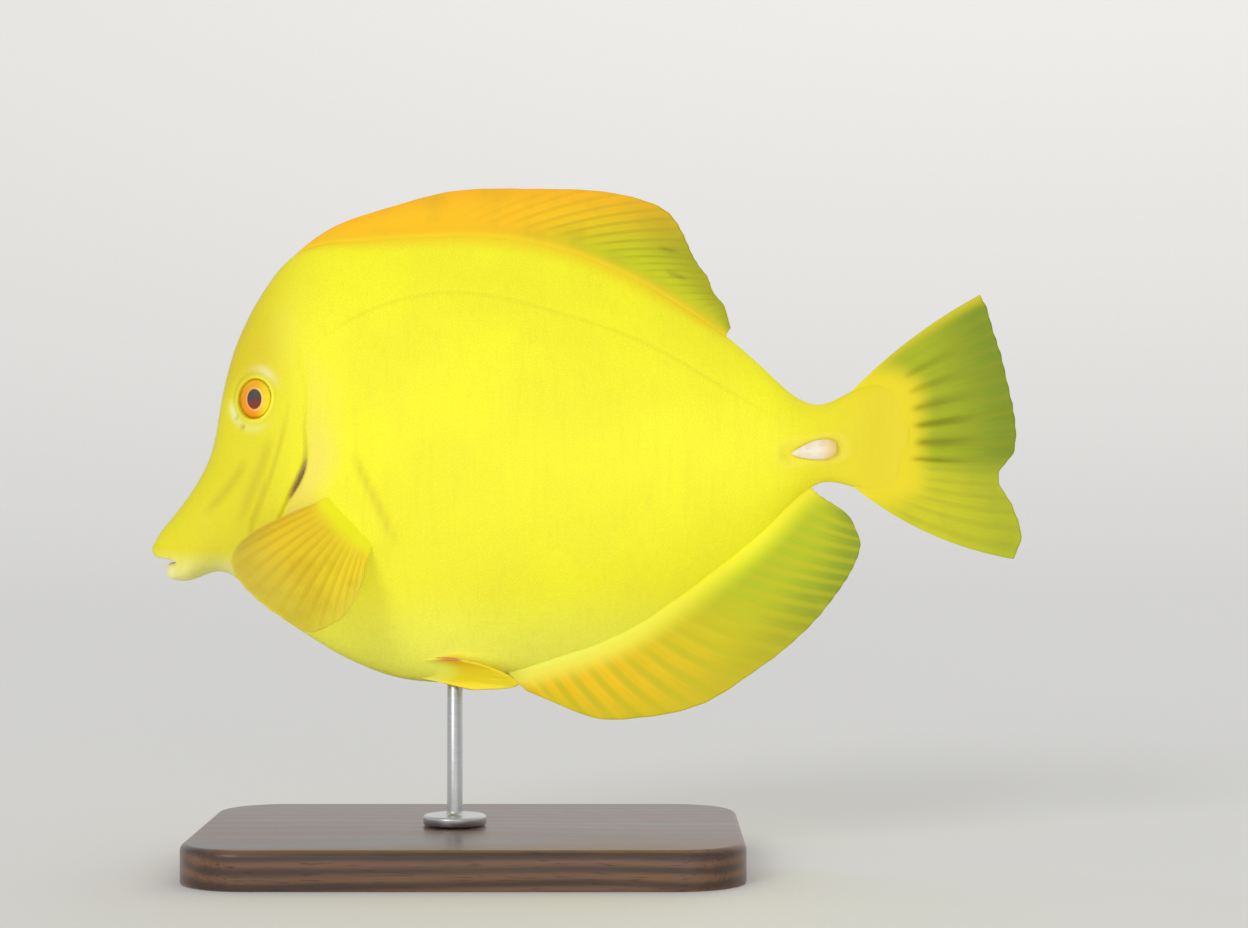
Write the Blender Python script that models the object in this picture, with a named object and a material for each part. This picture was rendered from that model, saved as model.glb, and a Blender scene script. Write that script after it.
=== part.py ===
"""Yellow tang at life size, held by one rod on a flat base.

The fish swims towards -X with its fins half open. The body is one lofted form that thin
cuts part into head, jaw, gill covers, torso and tail. Each fin is a thin sheet with its
rays raised as ridges in its own surface. Sizes are in millimetres in the fish's own
frame: x runs back from the tip of the snout, z runs up from the lowest edge of the anal
fin, and the left side faces -y. MM and PLACE put them in the scene.
"""
import math

import bmesh
import bpy
import numpy as np
from mathutils import Vector
from mathutils.bvhtree import BVHTree

MM = 0.001
TOTAL_LENGTH = 180.0
BASE_THICKNESS = 8.0
FIN_CLEARANCE = 22.0
PLACE = (-TOTAL_LENGTH / 2, 0.0, BASE_THICKNESS + FIN_CLEARANCE)
GAP = 0.3
FAR = 60.0
# A cutter for parts of the middle plane stands this far beside it, so that none of its
# points meets a point or an edge of what it cuts.
OFF_CENTRE = 0.02

# Body stations from the lips to the root of the tail fin: x and z on the back, x and z
# on the belly, half the width, and the sharpness of the back, where 1 is an ellipse.
STATIONS = [
    (1.5, 37.7, 5.0, 28.9, 3.0, 0.80),
    (3.9, 40.9, 8.0, 28.9, 4.1, 0.80),
    (7.4, 45.4, 12.4, 30.2, 5.1, 0.80),
    (11.0, 51.2, 16.6, 29.8, 6.0, 0.78),
    (13.4, 58.1, 20.6, 26.1, 6.9, 0.74),
    (15.1, 67.5, 24.6, 22.7, 7.9, 0.72),
    (18.3, 78.5, 29.5, 19.3, 9.1, 0.76),
    (23.2, 88.2, 35.0, 15.7, 10.4, 0.92),
    (30.8, 96.5, 41.5, 12.1, 11.4, 1.15),
    (43.6, 99.2, 50.0, 8.9, 12.0, 1.30),
    (64.7, 100.4, 66.0, 7.9, 12.0, 1.35),
    (84.0, 97.8, 84.0, 12.0, 11.0, 1.35),
    (100.6, 91.1, 100.0, 18.5, 9.3, 1.30),
    (115.1, 82.0, 115.0, 29.0, 7.2, 1.20),
    (127.5, 71.6, 128.0, 39.8, 5.1, 1.10),
    (138.8, 65.1, 139.2, 48.9, 3.5, 1.00),
    (148.0, 69.2, 148.0, 47.1, 1.9, 1.00),
]
BELLY_SHARPNESS = 1.1
BODY_RINGS = 50
BODY_SIDES = 32
LIP_BULGE = 0.2
TAIL_BULGE = 2.2

# The gill opening: x of the edge of the gill covers at each height.
GILL_LINE = [(14.0, 22.3), (26.0, 22.9), (36.0, 24.6), (45.7, 28.3), (51.5, 30.8),
             (57.7, 32.0), (68.0, 31.4), (77.3, 30.2), (88.0, 29.0), (99.0, 28.6)]
# The front edge of a gill cover: x and z from its lower to its upper end.
COVER_FRONT = [(29.0, 33.6), (22.0, 34.0), (20.2, 37.5), (21.8, 43.5), (24.3, 50.5),
               (26.2, 57.5), (28.0, 63.5), (30.0, 68.4), (35.0, 70.2)]
COVER_INNER_FACE = 6.2
GILL_POINTS = 18
COVER_POINTS = 24
SHOULDER_STEP = 0.6
SHOULDER_FADE = 9.0
SHOULDER_LEAST_WIDTH = 5.0
TAIL_CUT = [(100.0, 127.0), (0.0, 128.5)]

# Mouth: the line under the upper lip, the line on top of the lower lip, and the rolls.
UPPER_LIP_LINE = [(-3.0, 33.4), (3.4, 33.3), (7.0, 32.5)]
LOWER_LIP_LINE = [(-3.0, 32.4), (3.4, 32.3), (7.0, 32.1)]
JAW_HINGE_LINE = [(10.2, 29.0), (12.0, 24.0)]
UPPER_LIP = {"front": (1.7, 35.0), "corner": (6.3, 33.4), "reach": 3.2, "radius": 1.55}
LOWER_LIP = {"front": (4.5, 30.95), "corner": (7.4, 31.4), "reach": 3.1, "radius": 1.45}
LIP_END_RADIUS = 0.8
LIP_RINGS = 11
LIP_SIDES = 10

EYE_CENTRE = (22.4, 66.0)
EYE_RADIUS = 4.3
EYE_FLATNESS = 0.72
EYE_SUNK = 2.0
EYE_AXIS = (-0.30, 0.95, 0.06)
ORBIT_RADIUS = 4.35
ORBIT_ROLL = 0.6
ORBIT_SUNK = 0.1
NOSTRILS = [(16.9, 62.9, 0.45), (17.9, 60.9, 0.6)]

# Key rays of the fins in the middle line: x of the root, then x and z of the tip. The
# roots lie on the body's own outline.
DORSAL_KEYS = [(29.8, 31.4, 97.4), (33.2, 37.6, 101.6), (39.1, 49.0, 105.7), (45.0, 61.0, 108.9),
               (51.5, 73.5, 109.7), (57.7, 85.0, 109.6), (63.0, 95.0, 108.9),
               (67.5, 102.8, 107.0), (73.0, 107.8, 104.0), (78.5, 110.2, 100.3),
               (84.0, 111.7, 96.8), (90.0, 113.4, 93.7), (96.0, 115.3, 91.0),
               (101.5, 116.3, 88.2), (107.0, 118.0, 86.2), (112.0, 118.8, 84.6),
               (117.8, 119.8, 80.8)]
ANAL_KEYS = [(72.1, 77.9, 5.7), (77.5, 84.8, 2.7), (82.0, 92.6, 0.0), (86.5, 100.4, 0.1),
             (91.5, 109.0, 1.4), (96.0, 116.7, 4.3), (100.5, 123.9, 9.0), (105.0, 130.5, 13.9),
             (111.5, 138.0, 21.0), (117.5, 142.5, 26.8), (123.5, 145.5, 31.8),
             (128.0, 146.7, 36.2), (131.5, 145.6, 39.6), (133.8, 142.3, 43.6),
             (135.0, 138.0, 45.8)]
ROOT_SINK = 3.0

# Key rays of the tail fin: place along the root from top to bottom, x and z of the tip.
CAUDAL_ROOT = ((143.6, 66.5), (143.6, 49.3))
CAUDAL_KEYS = [(0.0, 171.5, 87.8), (0.05, 172.7, 85.6), (0.12, 173.9, 81.6), (0.26, 176.2, 74.2),
               (0.40, 178.0, 65.8), (0.53, 179.1, 58.8), (0.585, 178.5, 55.2), (0.64, 176.8, 52.8),
               (0.69, 175.4, 50.6), (0.745, 175.9, 47.9), (0.81, 177.8, 45.0), (0.88, 179.3, 41.2),
               (0.945, 180.0, 37.0), (1.0, 178.4, 33.0)]
PLEAT_HEIGHT = 0.45
PLEATS = 3.5

# Key rays of the paired fins on one side: x and z of the root, x and z of the tip, and
# how far the tip stands out from the middle plane.
PECTORAL_KEYS = [(39.3, 45.6, 21.0, 35.4, 29.0), (40.0, 44.9, 21.0, 32.9, 31.0),
                 (40.8, 44.0, 22.3, 30.0, 33.0), (41.6, 43.1, 25.2, 26.9, 34.0),
                 (42.5, 42.2, 29.0, 23.8, 33.5), (43.4, 41.3, 32.7, 21.1, 31.5),
                 (44.2, 40.4, 36.3, 19.4, 28.5), (45.1, 39.5, 40.0, 20.9, 24.5),
                 (45.9, 38.6, 42.7, 23.2, 21.5), (46.5, 38.0, 44.3, 26.4, 18.5),
                 (47.1, 37.3, 45.3, 29.7, 16.0)]
PELVIC_KEYS = [(52.0, 12.4, 63.7, 12.8, 6.4), (52.3, 11.5, 70.7, 11.0, 5.6),
               (52.7, 10.7, 75.8, 8.2, 4.6), (53.1, 10.0, 74.6, 6.7, 4.0),
               (53.5, 9.4, 66.8, 6.3, 3.4)]

PECTORAL_SINK = 2.0
PELVIC_SINK = 0.9

# How a fin is made: rays, rows along them, half thickness at root and edge, height of the
# ridge over a ray, how deep the edge is cut between rays, and the bend of the first and of
# the last ray as a part of its length.
DORSAL_LOOK = {"rays": 30, "rows": 4, "root": 1.3, "edge": 0.3, "ridge": 0.22,
               "notch": 0.004, "bend": (0.04, 0.04)}
ANAL_LOOK = dict(DORSAL_LOOK, rays=25)
CAUDAL_LOOK = {"rays": 16, "rows": 6, "root": 1.5, "edge": 0.3, "ridge": 0.25,
               "notch": 0.005, "bend": (0.04, -0.068)}
PECTORAL_LOOK = {"rays": 15, "rows": 5, "root": 1.3, "edge": 0.28, "ridge": 0.22,
                 "notch": 0.006, "bend": (0.06, 0.0)}
PELVIC_LOOK = {"rays": 6, "rows": 5, "root": 0.6, "edge": 0.3, "ridge": 0.15,
               "notch": 0.008, "bend": (0.02, -0.02)}
RAY_HALF_WIDTH = 0.3
RIDGE_FADE = 0.6

SPINE_TIP = (132.0, 54.8)
SPINE_ROOT = (141.4, 56.0)
SPINE_HALF_HEIGHT = 2.0
SPINE_HALF_THICK = 1.0
SPINE_OUT = 0.35
SPINE_POINT = 0.1
SPINE_RINGS = 8
SPINE_SIDES = 10

BASE_SIZE = (112.0, 80.0)
BASE_CENTRE_X = 66.0
BASE_CORNER = 14.0
BASE_BEVEL = 1.5
ROD_X = 62.8
ROD_RADIUS = 1.6
ROD_IN_BODY = 7.0
FLANGE_RADIUS = 6.5
FLANGE_HEIGHT = 2.0
TURNED_EDGE = 0.6
ROD_SIDES = 18


def linear(hex_colour):
    """The linear RGBA of an sRGB hex colour."""
    levels = [int(hex_colour[i:i + 2], 16) / 255 for i in (0, 2, 4)]
    return [c / 12.92 if c <= 0.04045 else ((c + 0.055) / 1.055) ** 2.4
            for c in levels] + [1.0]


def material(name, hex_colour, roughness, metallic=0.0):
    """A Principled material of one colour."""
    made = bpy.data.materials.new(name)
    made.use_nodes = True
    shader = made.node_tree.nodes["Principled BSDF"]
    shader.inputs["Base Color"].default_value = linear(hex_colour)
    shader.inputs["Roughness"].default_value = roughness
    shader.inputs["Metallic"].default_value = metallic
    made.diffuse_color = linear(hex_colour)
    return made


def spline(knots, values):
    """The natural cubic curve through values at knots, as a function."""
    knots = np.asarray(knots, float)
    values = np.asarray(values, float)
    values = values.reshape(len(knots), -1)
    step = np.diff(knots)[:, None]
    slope = np.diff(values, axis=0) / step
    system = np.eye(len(knots))
    right = np.zeros_like(values)
    for i in range(1, len(knots) - 1):
        before, after = step[i - 1, 0], step[i, 0]
        system[i, i - 1:i + 2] = before, 2 * (before + after), after
        right[i] = 6 * (slope[i] - slope[i - 1])
    bend = np.linalg.solve(system, right)

    def curve(t):
        t = np.atleast_1d(np.asarray(t, float))
        i = np.clip(np.searchsorted(knots, t, side="right") - 1, 0, len(knots) - 2)
        h = step[i]
        low = (knots[i + 1] - t)[:, None]
        high = (t - knots[i])[:, None]
        cubic = (bend[i] * low ** 3 + bend[i + 1] * high ** 3) / (6 * h)
        line = (values[i] / h - bend[i] * h / 6) * low
        line += (values[i + 1] / h - bend[i + 1] * h / 6) * high
        return cubic + line

    return curve


def lengths(points):
    """The running length along a row of points, from 0."""
    steps = np.linalg.norm(np.diff(np.asarray(points, float), axis=0), axis=1)
    return np.concatenate([[0.0], np.cumsum(steps)])


def mesh_object(name, points, faces):
    """An object from points in the fish's frame and faces that look outward."""
    mesh = bpy.data.meshes.new(name)
    placed = [[(p[k] + PLACE[k]) * MM for k in range(3)] for p in points]
    mesh.from_pydata(placed, [], faces)
    mesh.update()
    made = bpy.data.objects.new(name, mesh)
    bpy.context.collection.objects.link(made)
    return made


def outward(made):
    """Turn the faces of a closed mesh outward."""
    mesh = bmesh.new()
    mesh.from_mesh(made.data)
    bmesh.ops.recalc_face_normals(mesh, faces=mesh.faces)
    if mesh.calc_volume(signed=True) < 0:
        bmesh.ops.reverse_faces(mesh, faces=mesh.faces)
    mesh.to_mesh(made.data)
    mesh.free()


def discard(*objects):
    """Remove objects that were only tools."""
    for unwanted in objects:
        bpy.data.objects.remove(unwanted)


def copy_of(made, name):
    """A copy of an object with its own mesh."""
    twin = made.copy()
    twin.data = made.data.copy()
    twin.name = name
    bpy.context.collection.objects.link(twin)
    return twin


def grown(made, name, distance):
    """A copy of a closed mesh whose points are moved out along their normals."""
    twin = copy_of(made, name)
    mesh = bmesh.new()
    mesh.from_mesh(twin.data)
    mesh.normal_update()
    moves = [vertex.normal * distance * MM for vertex in mesh.verts]
    for vertex, move in zip(mesh.verts, moves):
        vertex.co += move
    mesh.to_mesh(twin.data)
    mesh.free()
    return twin


def closed(mesh):
    """Whether a mesh has faces and each of its edges joins two of them."""
    edges = np.empty(len(mesh.loops), dtype=int)
    mesh.loops.foreach_get("edge_index", edges)
    return len(edges) > 0 and bool(np.all(np.bincount(edges) == 2))


def combine(made, other, operation):
    """Apply one Boolean to a mesh, by the manifold solver where the exact one fails."""
    for solver in ("EXACT", "MANIFOLD"):
        step = made.modifiers.new("step", "BOOLEAN")
        step.solver = solver
        step.operation = operation
        step.object = other
        view = bpy.context.evaluated_depsgraph_get()
        result = bpy.data.meshes.new_from_object(made.evaluated_get(view))
        made.modifiers.clear()
        if closed(result):
            break
    made.data = result
    return made


def keep_largest(made):
    """Keep only the closed surface of a mesh that holds the most."""
    mesh = bmesh.new()
    mesh.from_mesh(made.data)
    waiting = set(mesh.faces)
    shells = []
    while waiting:
        shell = {waiting.pop()}
        edge_of_shell = list(shell)
        while edge_of_shell:
            face = edge_of_shell.pop()
            for edge in face.edges:
                for near in edge.link_faces:
                    if near in waiting:
                        waiting.discard(near)
                        shell.add(near)
                        edge_of_shell.append(near)
        shells.append(shell)

    def volume(shell):
        total = 0.0
        for face in shell:
            corners = [v.co for v in face.verts]
            for b, c in zip(corners[1:], corners[2:]):
                total += corners[0].dot(b.cross(c)) / 6
        return abs(total)

    largest = max(shells, key=volume)
    spare = [face for shell in shells if shell is not largest for face in shell]
    bmesh.ops.delete(mesh, geom=spare, context="FACES")
    bmesh.ops.delete(mesh, geom=[v for v in mesh.verts if not v.link_faces], context="VERTS")
    mesh.to_mesh(made.data)
    mesh.free()
    return made


def prism(name, outline, low_y, high_y):
    """A block with an outline in x and z, reaching from low_y to high_y."""
    count = len(outline)
    points = [(x, y, z) for y in (low_y, high_y) for x, z in outline]
    faces = [tuple(range(count)), tuple(reversed(range(count, 2 * count)))]
    for i in range(count):
        j = (i + 1) % count
        faces.append((i, i + count, j + count, j))
    made = mesh_object(name, points, faces)
    outward(made)
    return made


def rings_mesh(name, rings, first_pole=None, last_pole=None):
    """A closed mesh through rings of points, ended by a pole or a flat face."""
    sides = len(rings[0])
    points = [tuple(p) for ring in rings for p in ring]
    faces = []
    for i in range(len(rings) - 1):
        for j in range(sides):
            k = (j + 1) % sides
            faces.append((i * sides + j, i * sides + k, (i + 1) * sides + k,
                          (i + 1) * sides + j))
    last = (len(rings) - 1) * sides
    if first_pole is None:
        faces.append(tuple(reversed(range(sides))))
    else:
        points.append(tuple(first_pole))
        faces += [(len(points) - 1, (j + 1) % sides, j) for j in range(sides)]
    if last_pole is None:
        faces.append(tuple(range(last, last + sides)))
    else:
        points.append(tuple(last_pole))
        faces += [(len(points) - 1, last + j, last + (j + 1) % sides)
                  for j in range(sides)]
    made = mesh_object(name, points, faces)
    outward(made)
    return made


def body_curve():
    """The stations as one curve, and its length between back and belly."""
    rows = np.array(STATIONS, float)
    knots = (lengths(rows[:, :2]) + lengths(rows[:, 2:4])) / 2
    return spline(knots, rows), knots[-1]


def outline_height(columns, x):
    """Height of the back (columns 0, 1) or belly (columns 2, 3) outline at x."""
    curve, length = body_curve()
    rows = curve(np.linspace(0, length, 400))
    return float(np.interp(x, rows[:, columns[0]], rows[:, columns[1]]))


def gill_x(z):
    """x of the gill opening at height z."""
    heights, places = zip(*GILL_LINE)
    return spline(heights, places)(z)[:, 0]


def body_ring(row, shoulder):
    """One ring of the body; shoulder lowers the skin behind the gill opening."""
    back, belly = row[[0, 1]], row[[2, 3]]
    angle = 2 * math.pi * np.arange(BODY_SIDES) / BODY_SIDES
    rise = (1 + np.cos(angle)) / 2
    spot = belly + (back - belly) * rise[:, None]
    power = row[5] * rise + BELLY_SHARPNESS * (1 - rise)
    side = np.sin(angle)
    width = row[4] * np.abs(side) ** power
    if shoulder:
        behind = spot[:, 0] - gill_x(np.clip(spot[:, 1], GILL_LINE[0][0], GILL_LINE[-1][0]))
        step = np.clip(1 - behind / SHOULDER_FADE, 0, 1) ** 2
        width -= SHOULDER_STEP * step * np.abs(side) * (row[4] > SHOULDER_LEAST_WIDTH)
    return np.column_stack([spot[:, 0], width * np.sign(side), spot[:, 1]])


def round_end(ring, bulge):
    """Rings and a pole that close one end of the body in a low dome of height bulge."""
    centre = ring.mean(axis=0)
    back, belly = ring[0], ring[BODY_SIDES // 2]
    way = np.array([back[2] - belly[2], 0.0, belly[0] - back[0]])
    way /= np.linalg.norm(way)
    dome = []
    for turn in (math.radians(30), math.radians(60)):
        dome.append(centre + (ring - centre) * math.cos(turn) + way * bulge * math.sin(turn))
    return dome, centre + way * bulge


def body(name, shoulder):
    """The whole body without fins, from the lips to the root of the tail fin."""
    curve, length = body_curve()
    rows = curve(np.linspace(0, length, BODY_RINGS))
    rings = [body_ring(row, shoulder) for row in rows]
    front, front_pole = round_end(rings[0], -LIP_BULGE)
    rear, rear_pole = round_end(rings[-1], TAIL_BULGE)
    return rings_mesh(name, front[::-1] + rings + rear, front_pole, rear_pole)


def roll(name, spec):
    """A lip: a round roll that bends back from the middle to the corners."""
    front = np.array(spec["front"])
    corner = np.array(spec["corner"])
    rings = []
    turns = np.linspace(-1, 1, LIP_RINGS)
    path = []
    for turn in turns:
        back = 1 - math.cos(turn * math.pi / 2)
        x, z = front + (corner - front) * back
        path.append(np.array([x, spec["reach"] * math.sin(turn * math.pi / 2), z]))
    for i, turn in enumerate(turns):
        ahead = path[min(i + 1, len(path) - 1)] - path[max(i - 1, 0)]
        ahead /= np.linalg.norm(ahead)
        up = np.array([0.0, 0.0, 1.0])
        up -= ahead * up.dot(ahead)
        up /= np.linalg.norm(up)
        across = np.cross(ahead, up)
        radius = spec["radius"] + (LIP_END_RADIUS - spec["radius"]) * abs(turn) ** 2
        angles = 2 * math.pi * np.arange(LIP_SIDES) / LIP_SIDES
        rings.append([path[i] + radius * (math.cos(a) * up + math.sin(a) * across)
                      for a in angles])
    return rings_mesh(name, rings)


def ellipsoid(name, centre, axis, radius, flatness, segments=18, rows=9):
    """A ball flattened along its axis."""
    axis = Vector(axis).normalized()
    turn = axis.to_track_quat("Z", "Y")
    rings = []
    for i in range(1, rows):
        polar = math.pi * i / rows
        ring = []
        for j in range(segments):
            round_ = 2 * math.pi * j / segments
            spot = Vector((radius * math.sin(polar) * math.cos(round_),
                           radius * math.sin(polar) * math.sin(round_),
                           radius * flatness * math.cos(polar)))
            ring.append(tuple(Vector(centre) + turn @ spot))
        rings.append(ring)
    pole = turn @ Vector((0, 0, radius * flatness))
    return rings_mesh(name, rings, Vector(centre) + pole, Vector(centre) - pole)


def ring_roll(name, centre, axis, radius, roll_radius, segments=28, sides=6):
    """A torus round an axis."""
    turn = Vector(axis).normalized().to_track_quat("Z", "Y")
    points = []
    for i in range(segments):
        around = 2 * math.pi * i / segments
        for j in range(sides):
            small = 2 * math.pi * j / sides
            reach = radius + roll_radius * math.cos(small)
            spot = Vector((reach * math.cos(around), reach * math.sin(around),
                           roll_radius * math.sin(small)))
            points.append(tuple(Vector(centre) + turn @ spot))
    faces = []
    for i in range(segments):
        for j in range(sides):
            here, ahead = i * sides, (i + 1) % segments * sides
            k = (j + 1) % sides
            faces.append((here + j, here + k, ahead + k, ahead + j))
    made = mesh_object(name, points, faces)
    outward(made)
    return made


def side_reach(surface, x, z, side):
    """How far the body reaches to one side at x and z: y with its sign."""
    start = Vector(((x + PLACE[0]) * MM, side * FAR * MM, (z + PLACE[2]) * MM))
    spot = surface.ray_cast(start, Vector((0, -side, 0)))[0]
    return spot.y / MM if spot else 0.0


def fin(name, keys, look, pleat=0.0):
    """A thin sheet through key rays, with each ray raised as a ridge on both faces.

    keys are rows of root and tip points, and pleat is the height of soft folds that run
    along the rays.
    """
    keys = np.array(keys, float)
    curve = spline(lengths(keys[:, :3]), keys)
    length = lengths(keys[:, :3])[-1]
    last = look["rays"] - 1
    columns = []
    for ray in range(look["rays"]):
        columns += [(ray - RAY_HALF_WIDTH, 0.0), (float(ray), 1.0), (ray + RAY_HALF_WIDTH, 0.0)]
    columns = [c for c in columns if 0 <= c[0] <= last]
    across = np.array([c[0] for c in columns]) / last
    crest = np.array([c[1] for c in columns])
    rays = curve(across * length)
    root, tip = rays[:, :3], rays[:, 3:]
    tip = root + (tip - root) * (1 - look["notch"] * (1 - crest))[:, None]
    along = tip - root
    normal = np.cross(np.gradient(root, axis=0), along)
    normal /= np.linalg.norm(normal, axis=1)[:, None]
    sideways = np.cross(normal, along)
    first_bend, last_bend = look["bend"]
    bend = (first_bend + (last_bend - first_bend) * across)[:, None]
    wave = (pleat * np.sin(2 * math.pi * PLEATS * across))[:, None]
    down = np.linspace(0, 1, look["rows"] + 1)
    sheet = []
    for v in down:
        spot = root + along * v + sideways * (bend * 4 * v * (1 - v))
        sheet.append(spot + normal * (wave * v ** 2))
    sheet = np.array(sheet)
    over = np.gradient(sheet, axis=1)
    out = np.cross(over, np.gradient(sheet, axis=0))
    out /= np.linalg.norm(out, axis=2)[:, :, None]
    half = look["edge"] + (look["root"] - look["edge"]) * (1 - down[:, None]) ** 2
    half = half + look["ridge"] * crest[None, :] * (1 - RIDGE_FADE * down[:, None])
    top = sheet + out * half[:, :, None]
    bottom = sheet - out * half[:, :, None]
    return sheet_mesh(name, top, bottom)


def sheet_mesh(name, top, bottom):
    """A closed mesh between two grids, split into triangles alike on both faces."""
    rows, columns = top.shape[:2]
    points = [tuple(p) for p in top.reshape(-1, 3)]
    points += [tuple(p) for p in bottom.reshape(-1, 3)]
    lower = rows * columns

    def at(i, j):
        return i * columns + j

    faces = []
    for i in range(rows - 1):
        for j in range(columns - 1):
            a, b, c, d = at(i, j), at(i, j + 1), at(i + 1, j + 1), at(i + 1, j)
            faces += [(a, b, c), (a, c, d)]
            faces += [(a + lower, c + lower, b + lower), (a + lower, d + lower, c + lower)]
    rim = [at(0, j) for j in range(columns)]
    rim += [at(i, columns - 1) for i in range(1, rows)]
    rim += [at(rows - 1, j) for j in range(columns - 2, -1, -1)]
    rim += [at(i, 0) for i in range(rows - 2, 0, -1)]
    for a, b in zip(rim, rim[1:] + rim[:1]):
        faces += [(a, a + lower, b + lower), (a, b + lower, b)]
    made = mesh_object(name, points, faces)
    outward(made)
    return made


def median_keys(keys, columns, sink):
    """Root and tip points of a fin in the middle plane, its roots inside the body."""
    return [(x, 0, outline_height(columns, x) + sink, tip_x, 0, tip_z)
            for x, tip_x, tip_z in keys]


def caudal_keys():
    """Root and tip points of the tail fin."""
    top, low = np.array(CAUDAL_ROOT, float)
    rows = []
    for place, tip_x, tip_z in CAUDAL_KEYS:
        x, z = top + (low - top) * place
        rows.append((x, 0, z, tip_x, 0, tip_z))
    return rows


def paired_keys(keys, surface, side, sink):
    """Root and tip points of a paired fin, its roots inside the body."""
    rows = []
    for x, z, tip_x, tip_z, out in keys:
        y = side_reach(surface, x, z, side) - side * sink
        rows.append((x, y, z, tip_x, side * out, tip_z))
    return rows


def gill_block(name, way):
    """Everything ahead of (-1) or behind (1) the gill opening, and half a gap more."""
    heights = np.linspace(GILL_LINE[0][0], GILL_LINE[-1][0], GILL_POINTS)
    edge = [(x - way * GAP / 2, z) for x, z in zip(gill_x(heights), heights)]
    edge = [(edge[0][0], -FAR)] + edge + [(edge[-1][0], 2 * FAR)]
    far_x = edge[0][0] + way * 4 * FAR
    return prism(name, edge + [(far_x, 2 * FAR), (far_x, -FAR)], -FAR, FAR)


def cover_block(name, side, gap):
    """The space of one gill cover, or with a gap the larger space cut from the head."""
    knots = lengths(COVER_FRONT)
    edge = spline(knots, COVER_FRONT)(np.linspace(0, knots[-1], COVER_POINTS))
    run = np.gradient(edge, axis=0)
    run /= np.linalg.norm(run, axis=1)[:, None]
    edge = edge + gap * np.column_stack([-run[:, 1], run[:, 0]])
    front = [tuple(spot) for spot in edge]
    behind = [(FAR, front[-1][1]), (FAR, front[0][1])]
    inner = COVER_INNER_FACE - gap
    low, high = sorted((side * inner, side * FAR))
    return prism(name, front + behind, low, high)


def jaw_block(name, line, shift):
    """Everything below a lip line and ahead of the jaw's hinge."""
    hinge = [(x + shift, z) for x, z in JAW_HINGE_LINE]
    outline = [(line[0][0] - FAR, line[0][1])] + list(line) + hinge
    return prism(name, outline + [(hinge[-1][0], -FAR), (line[0][0] - FAR, -FAR)], -FAR, FAR)


def tail_block(name, way):
    """Everything ahead of (-1) or behind (1) the start of the tail, and half a gap more."""
    edge = [(x - way * GAP / 2, z) for z, x in TAIL_CUT]
    far_x = edge[0][0] + way * 4 * FAR
    return prism(name, edge + [(far_x, edge[1][1]), (far_x, edge[0][1])], -FAR, FAR)


def eye_place(surface, side):
    """Centre and outward axis of one eye."""
    x, z = EYE_CENTRE
    y = side_reach(surface, x, z, side)
    axis = Vector((EYE_AXIS[0], side * EYE_AXIS[1], EYE_AXIS[2])).normalized()
    return Vector((x, y, z)) - axis * EYE_SUNK, axis


def spine_mesh(name, surface, side, extra):
    """The white spine on one side of the tail, its point towards the head."""
    tip, root = Vector((SPINE_TIP[0], 0, SPINE_TIP[1])), Vector((SPINE_ROOT[0], 0, SPINE_ROOT[1]))
    rings = []
    for i in range(SPINE_RINGS):
        place = i / (SPINE_RINGS - 1)
        spot = tip.lerp(root, place)
        spot.y = side_reach(surface, spot.x, spot.z, side) + side * SPINE_OUT
        size = math.sin(math.pi * min(0.5, place * 0.62)) ** 0.8
        size *= 1 - 0.45 * max(0.0, (place - 0.75) / 0.25) ** 2
        high = SPINE_HALF_HEIGHT * size + SPINE_POINT + extra
        thick = SPINE_HALF_THICK * size + SPINE_POINT + extra
        spot.x += extra * (2 * place - 1) * 1.2
        rings.append([(spot.x, spot.y + thick * math.sin(a), spot.z + high * math.cos(a))
                      for a in (2 * math.pi * j / SPINE_SIDES for j in range(SPINE_SIDES))])
    return rings_mesh(name, rings)


def rod(name, extra):
    """The stand's rod, with a turned flange at its foot."""
    foot = -FIN_CLEARANCE + GAP
    top = outline_height((2, 3), ROD_X) + ROD_IN_BODY
    radius = ROD_RADIUS + extra
    deck = foot + FLANGE_HEIGHT
    outline = [(FLANGE_RADIUS, foot), (FLANGE_RADIUS, deck - TURNED_EDGE),
               (FLANGE_RADIUS - TURNED_EDGE, deck), (radius + TURNED_EDGE, deck),
               (radius, deck + TURNED_EDGE), (radius, top + extra - TURNED_EDGE),
               (radius - TURNED_EDGE, top + extra)]
    rings = [[(ROD_X + r * math.cos(a), r * math.sin(a), z)
              for a in (2 * math.pi * (j + 0.5) / ROD_SIDES for j in range(ROD_SIDES))]
             for r, z in outline]
    return rings_mesh(name, rings)


def base(name):
    """The flat base with round corners and a bevelled upper edge."""
    mesh = bmesh.new()
    bmesh.ops.create_cube(mesh, size=1.0)
    for vertex in mesh.verts:
        vertex.co.x *= BASE_SIZE[0] * MM
        vertex.co.y *= BASE_SIZE[1] * MM
        vertex.co.z = (vertex.co.z + 0.5) * BASE_THICKNESS * MM
        vertex.co.x += (BASE_CENTRE_X + PLACE[0]) * MM
    upright = [e for e in mesh.edges if abs(e.verts[0].co.z - e.verts[1].co.z) > MM]
    bmesh.ops.bevel(mesh, geom=upright, offset=BASE_CORNER * MM, segments=8, profile=0.5,
                    affect="EDGES")
    top = [e for e in mesh.edges
           if all(v.co.z > (BASE_THICKNESS - 0.01) * MM for v in e.verts)]
    bmesh.ops.bevel(mesh, geom=top, offset=BASE_BEVEL * MM, segments=2, profile=0.5,
                    affect="EDGES")
    data = bpy.data.meshes.new(name)
    mesh.to_mesh(data)
    mesh.free()
    made = bpy.data.objects.new(name, data)
    bpy.context.collection.objects.link(made)
    outward(made)
    return made


def finish(made, name, look):
    """Name an object, give it its material and shade it smooth."""
    made.name = name
    made.data.name = name
    made.data.materials.clear()
    made.data.materials.append(look)
    made.data.shade_smooth()
    made.data.set_sharp_from_angle(angle=math.radians(40))
    return made


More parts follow.
